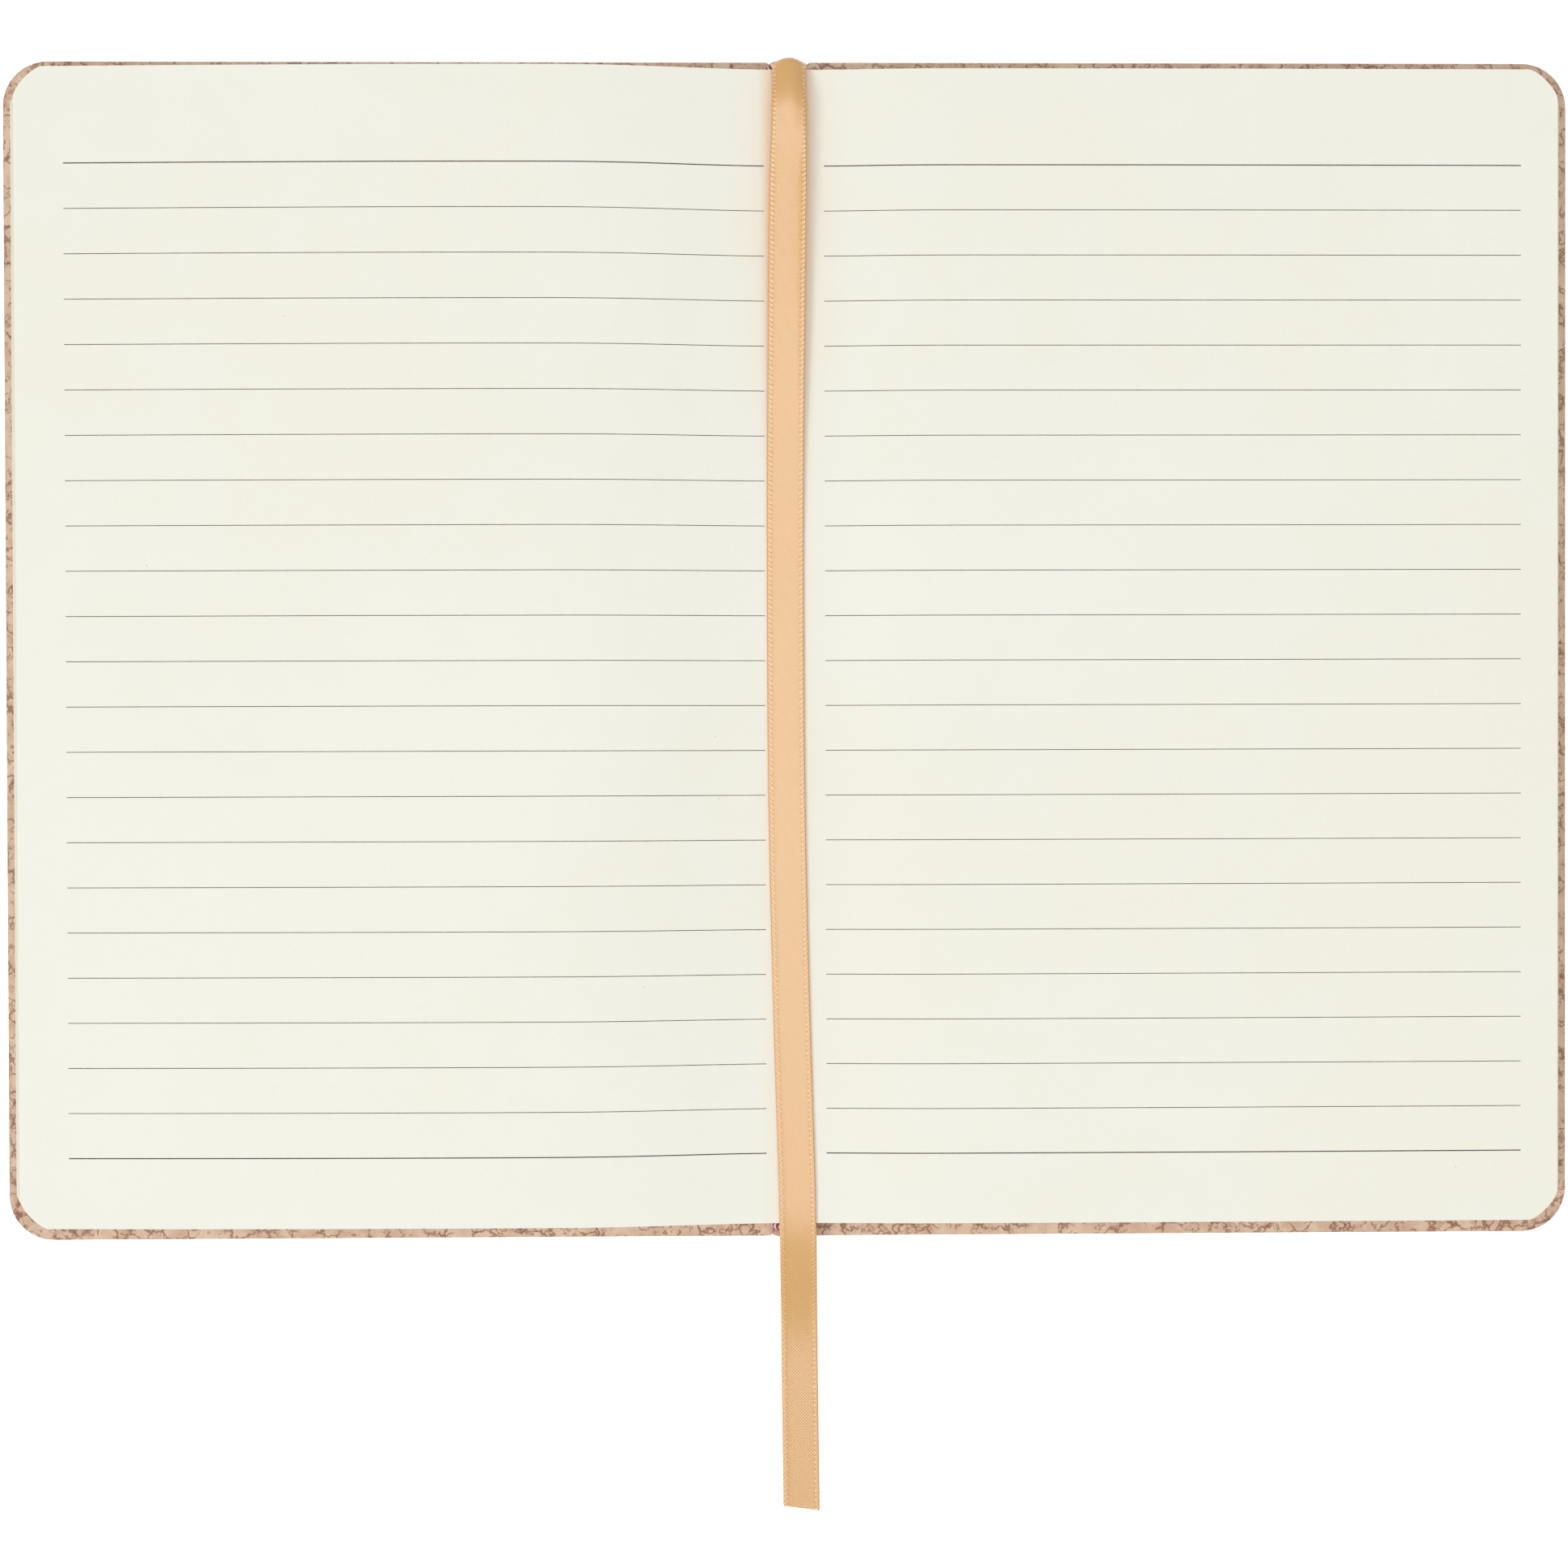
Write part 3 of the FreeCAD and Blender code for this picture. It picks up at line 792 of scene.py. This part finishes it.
def rules_on(name, side):
    start, finish = rule_spans[side]
    strips = []
    for number in range(rule_count):
        heavy = number in (0, rule_count - 1)
        half = (heavy_rule_width if heavy else rule_width) / 2
        y = first_rule_y - number * rule_pitch
        low, high = (start, y - half), (finish, y + half)
        strip = flat_grid(f"rule_{number}", low, high, rule_columns, 1)
        start_edit(strip)
        close_sheet()
        points = points_of(strip.data)
        reach_mm, y_mm = points[:, 0] / MM, points[:, 1] / MM
        z = top_height(side, reach_mm) + page_wave(side, reach_mm, y_mm)
        z = z + np.where(points[:, 2] > 0.5 * MM, ink_height, -ink_height)
        set_points(strip.data, np.stack([side * points[:, 0], points[:, 1], z * MM], axis=1))
        strips.append(strip)
    rules = join_all(strips, name)
    face_out(rules)
    coat(rules, ink)
    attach(rules, "pages")
    return rules


front_rules = rules_on("rules_on_front_page", -1)
rules_on("rules_on_back_page", 1)
print("rules", rule_count, "a page, faces", len(front_rules.data.polygons))

# %% [markdown]
# ## Cork-print faux leather
# The cover material is a thin coated cloth printed like pressed cork: a pinkish tan with broken
# brown veins, small clusters of bark specks and a soft mottle, under a fine leather grain. The
# pattern is worked out in space, so it runs on over every edge and turn-in without a seam, as a
# wrapped sheet does.

# %% Cork-print finish
cork = Finish("cork_print", Roughness=0.62, Specular_IOR_Level=0.35)
cork_where = cork.place_in_mm()
drift = cork.noise(cork_where, 0.55, detail=4, roughness=0.62)["Color"]
drift = cork.vector("SUBTRACT", {0: drift, 1: (0.5, 0.5, 0.5)})
drift = cork.vector("SCALE", {0: drift, "Scale": 3.4})
bent = cork.vector("ADD", {0: cork_where, 1: drift})


def broken_lines(scale, width, mask_scale, mask_from, offset):
    """Dark lines along the borders of warped cells, kept only in patches."""
    moved = cork.vector("ADD", {0: bent, 1: offset})
    border = cork.cells(moved, scale, "DISTANCE_TO_EDGE")["Distance"]
    lines = cork.between(border, width * 0.35, width, 1.0, 0.0)
    patches = cork.noise(moved, mask_scale, detail=3)["Fac"]
    return cork.math("MULTIPLY", lines, cork.between(patches, mask_from, mask_from + 0.06))


long_veins = broken_lines(0.31, 0.075, 0.26, 0.43, (0, 0, 0))
short_veins = broken_lines(0.82, 0.10, 0.40, 0.52, (31, 17, 5))
bark = cork.noise(bent, 1.15, detail=5, roughness=0.7)["Fac"]
bark_patch = cork.noise(cork_where, 0.22, detail=2)["Fac"]
in_patch = cork.between(bark_patch, 0.47, 0.60)
bark_spots = cork.math("MULTIPLY", cork.between(bark, 0.60, 0.68), in_patch)
mottle = cork.noise(cork_where, 0.28, detail=4, roughness=0.6)["Fac"]
flecks = cork.noise(cork_where, 3.2, detail=3, roughness=0.6)["Fac"]
rub = cork.add("Attribute", attribute_name="rub").outputs["Fac"]
rub_patch = cork.noise(cork_where, 0.7, detail=3)["Fac"]
rubbed = cork.math("MULTIPLY", rub, cork.between(rub_patch, 0.4, 0.65))

cork_colour = cork.mix(
    cork.between(mottle, 0.32, 0.68), linear(225, 198, 174), linear(206, 172, 146)
)
for print_share, amount, tint in (
    (cork.between(flecks, 0.5, 0.72), 0.30, (190, 148, 120)),
    (bark_spots, 0.62, (166, 120, 98)),
    (short_veins, 0.72, (146, 98, 78)),
    (long_veins, 0.80, (138, 88, 68)),
    (rubbed, 0.35, (232, 206, 182)),
):
    cork_colour = cork.over(cork_colour, print_share, amount, linear(*tint))
cork.plug("Base Color", cork_colour)
pores = cork.cells(cork_where, 3.4, "SMOOTH_F1")["Distance"]
grain_bump = cork.bump(pores, 0.035, 0.5)
all_veins = cork.math("ADD", long_veins, short_veins)
cork.plug("Normal", cork.bump(all_veins, -0.04, 0.4, grain_bump))
print("cork print nodes", len(cork.tree.nodes))

# %% [markdown]
# ## The wrapped covers
# Each cover is a board wrapped in that sheet. Under the board the sheet is flat; it rolls up over
# the edges and is turned in over three of them. At a round corner there is too much sheet for the
# turn-in, so the binder gathers it in small pleats. A block with beveled edges gives the wrapped
# form, its inner face is cut open like a frame, the pleats are pressed into the corners, and
# Solidify gives the sheet its thickness towards the board.

# %% The block of one cover
cover_low, cover_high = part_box("back_cover_skin")
cover_x0, cover_x1 = cover_low.x / MM, cover_high.x / MM
cover_half = cover_high.y / MM
cover_top = cover_high.z / MM
corner_radius, inner_corner, edge_round = 8.0, 1.2, 0.9
corner_steps, inner_steps, edge_steps = 64, 5, 6
skin_thickness, turn_in = 0.35, 15.0
same_place = 1e-6  # metres, within which two places count as the same

skin = tidy_cube("back_wrap", (cover_x0, -cover_half, 0), (cover_x1, cover_half, cover_top))
start_edit(skin)


def upright_at(x_mm):
    """A test for the upright edges at one X."""
    def test(edge):
        a, b = (v.co for v in edge.verts)
        return abs(a.x - x_mm * MM) < same_place and (a - b).xy.length < same_place
    return test


def on_rim(edge):
    """True for an edge of the block's top or bottom face."""
    heights = [v.co.z for v in edge.verts]
    return max(heights) < same_place or min(heights) > cover_top * MM - same_place


for test, rounding, steps in (
    (upright_at(cover_x1), corner_radius, corner_steps),
    (upright_at(cover_x0), inner_corner, inner_steps),
    (on_rim, edge_round, edge_steps),
):
    pick(skin, "EDGE", test)
    bpy.ops.mesh.bevel(offset=rounding * MM, segments=steps, profile=0.5, affect="EDGES")
print("wrapped block faces", len(bmesh.from_edit_mesh(skin.data).faces))

# %% Turn-in, opened towards the spine
window_x, window_y = cover_x1 - turn_in, cover_half - turn_in
arc_x, arc_y = cover_x1 - corner_radius, cover_half - corner_radius
cuts = [((x, 0, 0), (1, 0, 0)) for x in (window_x, arc_x)]
cuts += [((0, end * y, 0), (0, 1, 0)) for end in (1, -1) for y in (window_y, arc_y)]
for place, way in cuts:
    bpy.ops.mesh.select_all(action="SELECT")
    bpy.ops.mesh.bisect(plane_co=[v * MM for v in place], plane_no=way)


def in_window(face):
    place = face.calc_center_median() / MM
    inside = place.x < window_x and abs(place.y) < window_y
    return inside and place.z > cover_top - skin_thickness


window_faces = pick(skin, "FACE", in_window)
bpy.ops.mesh.delete(type="FACE")
print("window faces taken out", window_faces)

# %% Rings at the round corners, to carry the pleats
ring_count = 6
inner_radius = corner_radius - edge_round
hair = 0.001  # mm


def corner_rings(end):
    """Puts rings of faces round the centre of one round corner, in the face that is turned in."""
    centre = Vector((arc_x, end * arc_y))

    def in_corner(place, past):
        beyond = min(place.x - arc_x, end * place.y - arc_y)
        return beyond > past and place.z > cover_top - hair

    def ends_of(edge):
        places = [v.co / MM for v in edge.verts]
        return places if all(in_corner(place, -hair) for place in places) else []

    def spoke(edge):
        return any((place.xy - centre).length < close_to for place in ends_of(edge))

    def on_arc(edge):
        off = [abs((place.xy - centre).length - inner_radius) for place in ends_of(edge)]
        return bool(off) and max(off) < close_to

    pick(skin, "EDGE", spoke)
    bpy.ops.mesh.subdivide(number_cuts=ring_count - 1)
    pick(skin, "FACE", lambda face: in_corner(face.calc_center_median() / MM, hair))
    bpy.ops.mesh.delete(type="ONLY_FACE")
    pick(skin, "EDGE", on_arc)
    pivot = (arc_x * MM, end * arc_y * MM, cover_top * MM)
    for ring in range(ring_count, 0, -1):
        smaller = (ring - 1) / ring
        bpy.ops.mesh.extrude_edges_move()
        bpy.ops.transform.resize(value=(smaller, smaller, 1), center_override=pivot)


corner_rings(1)
corner_rings(-1)
bpy.ops.mesh.select_all(action="SELECT")
bpy.ops.mesh.delete_loose()
bpy.ops.mesh.remove_doubles(threshold=2 * merge_within)
end_edit()

# %% Pleats at the two round corners
pleat_count, pleat_depth = 11, 0.17
pleat_stray, shallowest = 0.22, 0.6
valley_slope, valley_curve = 2.1, 1.3
crown_slope, crown_share = 2.6, 0.35
pleats_past, pleats_fade = 0.1, 0.12  # as shares of the corner's quarter turn
lift_from, lift_over = 0.7, 1.1  # height from which the sheet is pleated
calm_from, calm_over = 0.6, 2.0  # distance from the corner's centre
rolled_flatter, rolled_inward = 0.7, 0.15
pleat_rng = random.Random(3)
skin_points = points_of(skin.data) / MM
for end in (1, -1):
    centre = np.array([arc_x, end * arc_y])
    offset = skin_points[:, :2] - centre
    from_centre = np.linalg.norm(offset, axis=1)
    turn = np.arctan2(end * offset[:, 1], offset[:, 0]) / (math.pi / 2)
    strays = [pleat_rng.uniform(-pleat_stray, pleat_stray) for _ in range(pleat_count)]
    folds = (np.arange(pleat_count) + 0.5 + strays) / pleat_count
    depths = np.array([pleat_rng.uniform(shallowest, 1.0) for _ in folds])
    away = np.abs(turn[:, None] - folds[None, :]) * pleat_count
    valley = (np.clip(1 - away * valley_slope, 0, 1) ** valley_curve * depths).sum(axis=1)
    crown = (np.clip(1 - np.abs(away - 0.5) * crown_slope, 0, 1) * depths).max(axis=1)
    calm = np.clip((turn + pleats_past) / pleats_fade, 0, 1)
    calm = calm * np.clip((1 + pleats_past - turn) / pleats_fade, 0, 1)
    lift = ramp(skin_points[:, 2], lift_from, lift_over) * calm
    inner_calm = ramp(from_centre, calm_from, calm_over)
    relief = (crown_share * crown - valley) * pleat_depth * lift * inner_calm
    rolled = ramp(from_centre, inner_radius, edge_round)
    skin_points[:, 2] += relief * (1 - rolled_flatter * rolled)
    outward = offset / np.maximum(from_centre, close_to)[:, None]
    skin_points[:, :2] += outward * (np.minimum(relief, 0) * rolled_inward * rolled)[:, None]
set_points(skin.data, skin_points * MM)
print("pleats at each corner", pleat_count)

# %% Thickness, rub marks and the second cover
rub_reach = 1.2
room_for_board = 0.01


def rub_marks(piece, x0, x1, half):
    """Marks how much each point lies on a worn edge, from 0 to 1."""
    points = points_of(piece.data) / MM
    rim_x = np.minimum(points[:, 0] - x0, x1 - points[:, 0])
    rim_y = half - np.abs(points[:, 1])
    mark_points(piece.data, "rub", np.clip(1 - np.minimum(rim_x, rim_y) / rub_reach, 0, 1))


face_out(skin)
sheet_thickness = (skin_thickness - room_for_board) * MM
modify(skin, "SOLIDIFY", thickness=sheet_thickness, offset=-1, use_even_offset=False)
rub_marks(skin, cover_x0, cover_x1, cover_half)
smooth(skin, 40)
coat(skin, cork)


def mirror_copy(piece, name):
    """The same piece on the front side of the spine, with its own mesh."""
    copy = new_object(name, piece.data.copy())
    copy.data.name = name
    points = points_of(copy.data)
    points[:, 0] *= -1
    set_points(copy.data, points)
    start_edit(copy, "SELECT")
    bpy.ops.mesh.flip_normals()
    end_edit()
    return copy


front_skin = mirror_copy(skin, "front_wrap")
for piece, body, node in (
    (skin, "back_cover", "back_cover_skin"),
    (front_skin, "front_cover", "front_cover_skin"),
):
    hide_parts(node)
    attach(piece, body)
    print(piece.name, "faces", len(piece.data.polygons))

# %% [markdown]
# ## The joints
# Between a board and the spine the sheet is bare and bends: that is the joint the cover turns on.
# It is a strip that leaves the board's inner edge and runs up into the spine. When a cover is
# folded back, the board's edge comes up under the spine and the strip is pressed flat between the
# two.

# %% Joint strips of the cover sheet
def strip_along(name, curve, low_y, high_y, thickness_mm, columns=24, rows=30):
    """A sheet that follows points in X and Z, from low_y to high_y, in millimetres."""
    sheet = flat_grid(name, (0, low_y), (1, high_y), columns, rows)
    points = points_of(sheet.data)
    share = points[:, 0] / MM
    curve = np.array(curve)
    steps = run_along(curve)
    steps /= steps[-1]
    points[:, 0] = np.interp(share, steps, curve[:, 0]) * MM
    points[:, 2] = np.interp(share, steps, curve[:, 1]) * MM
    set_points(sheet.data, points)
    modify(sheet, "SOLIDIFY", thickness=thickness_mm * MM, offset=0)
    face_out(sheet)
    return smooth(sheet, 40)


spine_low, spine_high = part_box("spine_skin")
joint_profile = [
    (3.12, 0.95), (2.90, 1.55), (2.55, 1.70), (2.15, 2.30), (1.70, 2.50), (1.475, 3.25)
]
joint_thickness, joint_inset = 0.3, 0.05
joint_half = spine_high.y / MM - joint_inset
for side, body in ((-1, "front_cover"), (1, "back_cover")):
    profile = bezier([(side * x, z) for x, z in joint_profile])
    joint = strip_along(body + "_joint", profile, -joint_half, joint_half, joint_thickness)
    coat(joint, cork)
    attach(joint, "pages")
    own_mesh(joint)
    print(joint.name, "faces", len(joint.data.polygons))

# %% [markdown]
# ## Endpapers
# An endpaper is one folded sheet: one leaf is pasted to the cover, the other to the first page. The
# pasted leaf is already a part of the model. This narrow strip is the fold between the two, and its
# crease lies on the line that the cover turns on. Only the crease bends: each leaf keeps to its own
# side.

# %% Endpaper folds
fold_profile = [
    (9.0, 2.545), (3.6, 2.545), (3.1, 2.565), (2.93, 2.60), (3.1, 2.635), (3.6, 2.655), (9.0, 2.655)
]
fold_thickness, fold_inset = 0.06, 0.1
fold_ends = (tail_y + fold_inset, head_y - fold_inset)
for side, body in ((-1, "front_cover"), (1, "back_cover")):
    profile = [(side * x, z) for x, z in fold_profile]
    fold = strip_along(body + "_endpaper_fold", profile, *fold_ends, fold_thickness, columns=60)
    coat(fold, end_paper)
    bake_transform(fold)
    print(fold.name, "faces", len(fold.data.polygons))

# %% [markdown]
# ## Headbands
# A headband is a cord with thread wound round it in two colours, on a tape that is glued to the
# back of the pages. Its crown leans out over the end of the spine. The threads are real round
# strands here, three red and three white side by side, wound as one band, so the stripes keep their
# place from any side.

# %% Thread and tape finishes
def thread_finish(name, light, deep):
    thread = Finish(name, Roughness=0.7, Sheen_Weight=0.3)
    fibre = thread.noise(thread.place_in_mm(), 7.0, detail=3)["Fac"]
    thread.plug("Base Color", thread.mix(thread.between(fibre, 0.35, 0.65), light, deep))
    thread.plug("Normal", thread.bump(fibre, 0.03, 0.6))
    return thread


red_thread = thread_finish("red_thread", linear(178, 44, 62), linear(140, 26, 46))
white_thread = thread_finish("white_thread", linear(244, 238, 232), linear(222, 212, 206))
tape_cloth = thread_finish("headband_tape", linear(236, 228, 214), linear(214, 204, 188))

# %% Wound bead over its tape
bead_lean = math.radians(9)
bead_radius = 0.54
core_radius, strand_radius = 0.41, 0.12
strand_pitch = 1.15
strand_count, red_count = 6, 3
bead_past = 0.12  # radians, by which the bead goes on past each foot of the arch
splayed_end = 0.8  # mm, by which the cut end on the front side stands out
splay_from, splay_over = 2.5, 0.76  # radians
foot_places = {1: head_y + 0.95, -1: tail_y - 0.6}
bead_shift = -0.35
tape_height, tape_thickness, tape_lift = 10.0, 0.19, 0.02
tape_radii = {1: 2.4, -1: 2.65}


def bead_line(end, steps=240):
    """The bead's middle line from one foot over the crown to the other, in millimetres."""
    foot_y = foot_places[end]
    reach = arch_radius / math.cos(bead_lean)
    turn = np.linspace(-bead_past, math.pi + bead_past, steps)
    x = reach * np.cos(turn)
    x -= splayed_end * ramp(turn, splay_from, splay_over) ** 2
    x += bead_shift * np.clip(np.sin(turn), 0, 1)
    rise = reach * np.sin(turn)
    y = foot_y + end * np.clip(rise, 0, None) * math.sin(bead_lean)
    z = arch_centre_z + np.where(rise > 0, rise * math.cos(bead_lean), rise)
    return np.stack([x, y, z], axis=1)


def round_strand(name, line_mm, radius_mm, resolution=2):
    """A round strand along a line, closed at both ends, as a mesh."""
    data = bpy.data.curves.new(name, "CURVE")
    data.dimensions = "3D"
    data.bevel_depth = radius_mm * MM
    data.bevel_resolution = resolution
    data.use_fill_caps = True
    spline = data.splines.new("POLY")
    spline.points.add(len(line_mm) - 1)
    flat_line = np.concatenate([line_mm * MM, np.ones((len(line_mm), 1))], axis=1)
    spline.points.foreach_set("co", flat_line.ravel())
    only(new_object(name, data))
    bpy.ops.object.convert(target="MESH")
    return face_out(bpy.context.active_object)


def wound_line(core, phase):
    """A thread wound round the core at one phase of its turn."""
    step = np.gradient(core, axis=0)
    step /= np.linalg.norm(step, axis=1)[:, None]
    side_way = np.cross(step, [0.0, 1.0, 0.0])
    side_way /= np.linalg.norm(side_way, axis=1)[:, None]
    other_side = np.cross(step, side_way)
    turn = 2 * math.pi * (run_along(core) / strand_pitch + phase)
    around = np.cos(turn)[:, None] * side_way + np.sin(turn)[:, None] * other_side
    return core + (bead_radius - strand_radius) * around


def headband(name, end, node):
    """A wound bead and its tape at the head, end 1, or the tail, end -1."""
    core = bead_line(end)
    parts = [round_strand(name, core, core_radius, 3)]
    coat(parts[0], red_thread)
    for number in range(strand_count):
        line = wound_line(core, number / strand_count)
        strand = round_strand(f"{name}_{number}", line, strand_radius)
        coat(strand, red_thread if number < red_count else white_thread)
        parts.append(strand)
    radius = tape_radii[end]
    turn = np.linspace(0, math.pi, 25)
    arch = [(radius * math.cos(a), arch_centre_z + radius * math.sin(a)) for a in turn]
    foot_z = spine_low.z / MM + tape_lift
    curve = [(radius, foot_z), *arch, (-radius, foot_z)]
    ends = sorted((core[0, 1], (head_y if end > 0 else tail_y) - end * tape_height))
    tape = strip_along(name + "_tape", curve, *ends, tape_thickness, columns=30, rows=8)
    coat(tape, tape_cloth)
    parts.append(tape)
    made = join_all(parts, name)
    smooth(made, 50)
    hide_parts(node)
    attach(made, "pages")
    print(name, "faces", len(made.data.polygons), "materials", len(made.data.materials))


headband("wound_head_headband", 1, "head_headband")
headband("wound_tail_headband", -1, "tail_headband")

# %% [markdown]
# ## The pieces inside
# The boards, the lining and the pasted endpapers have their right shape already, so they only get
# their finishes: pulpy grey board with fibres, open-weave gauze and endpaper. The card in the spine
# is smooth and warmer than the boards.

# %% Finishes of the inner pieces
def board_finish(name, light, deep, fibre_scale):
    board = Finish(name, Roughness=0.92, Specular_IOR_Level=0.2)
    where = board.place_in_mm((1, 0.3, 1))
    fibre = board.noise(where, fibre_scale, detail=5, roughness=0.65)["Fac"]
    flake = board.noise(board.place_in_mm(), 0.5, detail=3)["Fac"]
    colour = board.mix(board.between(fibre, 0.35, 0.65), light, deep)
    colour = board.over(colour, board.between(flake, 0.5, 0.7), 0.35, deep)
    board.plug("Base Color", colour)
    board.plug("Normal", board.bump(fibre, 0.06, 0.6))
    return board


grey_board = board_finish("pulp_board", linear(172, 166, 156), linear(146, 140, 130), 1.6)
spine_card = board_finish("spine_card", linear(206, 196, 178), linear(190, 178, 158), 2.4)

gauze = Finish("open_gauze", Roughness=0.85)
gauze_xyz = gauze.add("SeparateXYZ", {"Vector": gauze.place_in_mm()}).outputs
gauze_turn = 7.5  # radians a millimetre, so a thread every 0.84 mm


def gauze_rows(axis):
    sine = gauze.math("SINE", gauze.math("MULTIPLY", gauze_xyz[axis], gauze_turn))
    return gauze.between(sine, -0.2, 0.8)


gauze_threads = gauze.math("MAXIMUM", gauze_rows("Y"), gauze_rows("X"))
gauze.plug("Base Color", gauze.mix(gauze_threads, linear(206, 192, 164), linear(238, 230, 212)))
gauze.plug("Normal", gauze.bump(gauze_threads, 0.08, 0.7))

inner_finishes = {
    "front_board": (grey_board, "grey_board"),
    "back_board": (grey_board, "grey_board"),
    "spine_lining": (gauze, "lining_gauze"),
    "front_pastedown": (end_paper, "endpaper"),
    "back_pastedown": (end_paper, "endpaper"),
}
for node, (finish, slot) in inner_finishes.items():
    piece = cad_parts[node]
    coat(piece, finish)

# %% The spine, drawn in at its two ends
cap_draw_in = {1: 1.0, -1: 0.45}  # mm, by which the spine's ends sit inside those of the covers
cap_from = 100  # mm from the middle: only the points at the two ends lie past this


def drawn_in(node, finish):
    """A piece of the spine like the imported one, with its two ends pulled in under the headbands."""
    piece = new_object(node + "_drawn_in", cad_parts[node].data.copy())
    piece.data.name = piece.name
    face_out(piece)
    for end, amount in cap_draw_in.items():
        start_edit(piece)
        pick(piece, "VERT", lambda v: end * v.co.y > cap_from * MM)
        bpy.ops.transform.translate(value=(0, -end * amount * MM, 0))
        end_edit()
    smooth(piece, 40)
    coat(piece, finish)
    coat(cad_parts[node], finish)
    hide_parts(node)
    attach(piece, "pages")
    print(piece.name, "faces", len(piece.data.polygons))


drawn_in("spine_skin", cork)
drawn_in("spine_inlay", spine_card)
replaced_finishes = {
    "page_block": edge_paper,
    "ribbon_marker": satin,
    "front_cover_skin": cork,
    "back_cover_skin": cork,
    "head_headband": tape_cloth,
    "tail_headband": tape_cloth,
}
for node, finish in replaced_finishes.items():
    coat(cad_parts[node], finish)
print("inner pieces finished", len(inner_finishes))

# %% [markdown]
# ## Floor and light
# The notebook lies on a plain white sweep in soft, even light from above and all round. One larger
# light from the lower left gives the ribbon and the page edges their small soft shadows.

# %% White floor
white = (1, 1, 1, 1)
floor_size, floor_z = 6, -0.0002
floor_grey = (0.86, 0.86, 0.86, 1)
floor_glow = 0.55  # only for rays that look straight at the floor, so it reads as white

floor_finish = Finish("white_floor", Roughness=0.9, Specular_IOR_Level=0.1)
bpy.ops.mesh.primitive_plane_add(size=floor_size, location=(0, 0, floor_z))
floor = settle(bpy.context.active_object, "floor")
floor_tree = floor_finish.tree
floor_finish.shader.inputs["Base Color"].default_value = floor_grey
path = floor_finish.add("LightPath").outputs
seen = floor_finish.math("MAXIMUM", path["Is Camera Ray"], path["Is Glossy Ray"])
seen = floor_finish.math("MAXIMUM", seen, path["Is Transmission Ray"])
glow_strength = floor_finish.math("MULTIPLY", seen, floor_glow)
glow = floor_finish.add("Emission", {"Color": white, "Strength": glow_strength})
both = floor_finish.add("AddShader")
floor_tree.links.new(floor_finish.shader.outputs[0], both.inputs[0])
floor_tree.links.new(glow.outputs[0], both.inputs[1])
floor_tree.links.new(both.outputs[0], floor_tree.nodes["Material Output"].inputs["Surface"])
coat(floor, floor_finish)

# %% Lights and world
key_place, key_size, key_watts, key_tint = (-2.1, -1.96, 2.8), 1.3, 46.0, (1.0, 0.99, 0.975)
top_place, top_size, top_watts = (0.02, -0.02, 1.5), 1.0, 9.2
room_strength, backdrop_strength = 0.39, 1.0


def area_light(name, place, size, watts, tint=(1, 1, 1)):
    """A square light that shines at the middle of the notebook."""
    data = bpy.data.lights.new(name, "AREA")
    data.shape = "SQUARE"
    data.size = size
    data.energy = watts
    data.color = tint
    light = new_object(name, data)
    light.location = place
    light.rotation_euler = (-Vector(place)).to_track_quat("-Z", "Y").to_euler()


area_light("key", key_place, key_size, key_watts, key_tint)
area_light("overhead", top_place, top_size, top_watts)
world = bpy.data.worlds.new("studio")
bpy.context.scene.world = world
world.use_nodes = True
world_tree = world.node_tree
room = world_tree.nodes["Background"]
backdrop = world_tree.nodes.new("ShaderNodeBackground")
for shader, strength in ((room, room_strength), (backdrop, backdrop_strength)):
    shader.inputs["Color"].default_value = white
    shader.inputs["Strength"].default_value = strength
world_path = world_tree.nodes.new("ShaderNodeLightPath")
world_mix = world_tree.nodes.new("ShaderNodeMixShader")
world_tree.links.new(world_path.outputs["Is Camera Ray"], world_mix.inputs[0])
world_tree.links.new(room.outputs[0], world_mix.inputs[1])
world_tree.links.new(backdrop.outputs[0], world_mix.inputs[2])
world_tree.links.new(world_mix.outputs[0], world_tree.nodes["World Output"].inputs["Surface"])
bpy.context.scene.view_settings.view_transform = "Standard"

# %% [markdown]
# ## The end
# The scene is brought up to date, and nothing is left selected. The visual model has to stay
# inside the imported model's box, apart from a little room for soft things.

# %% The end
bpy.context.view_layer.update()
bpy.ops.object.select_all(action="DESELECT")
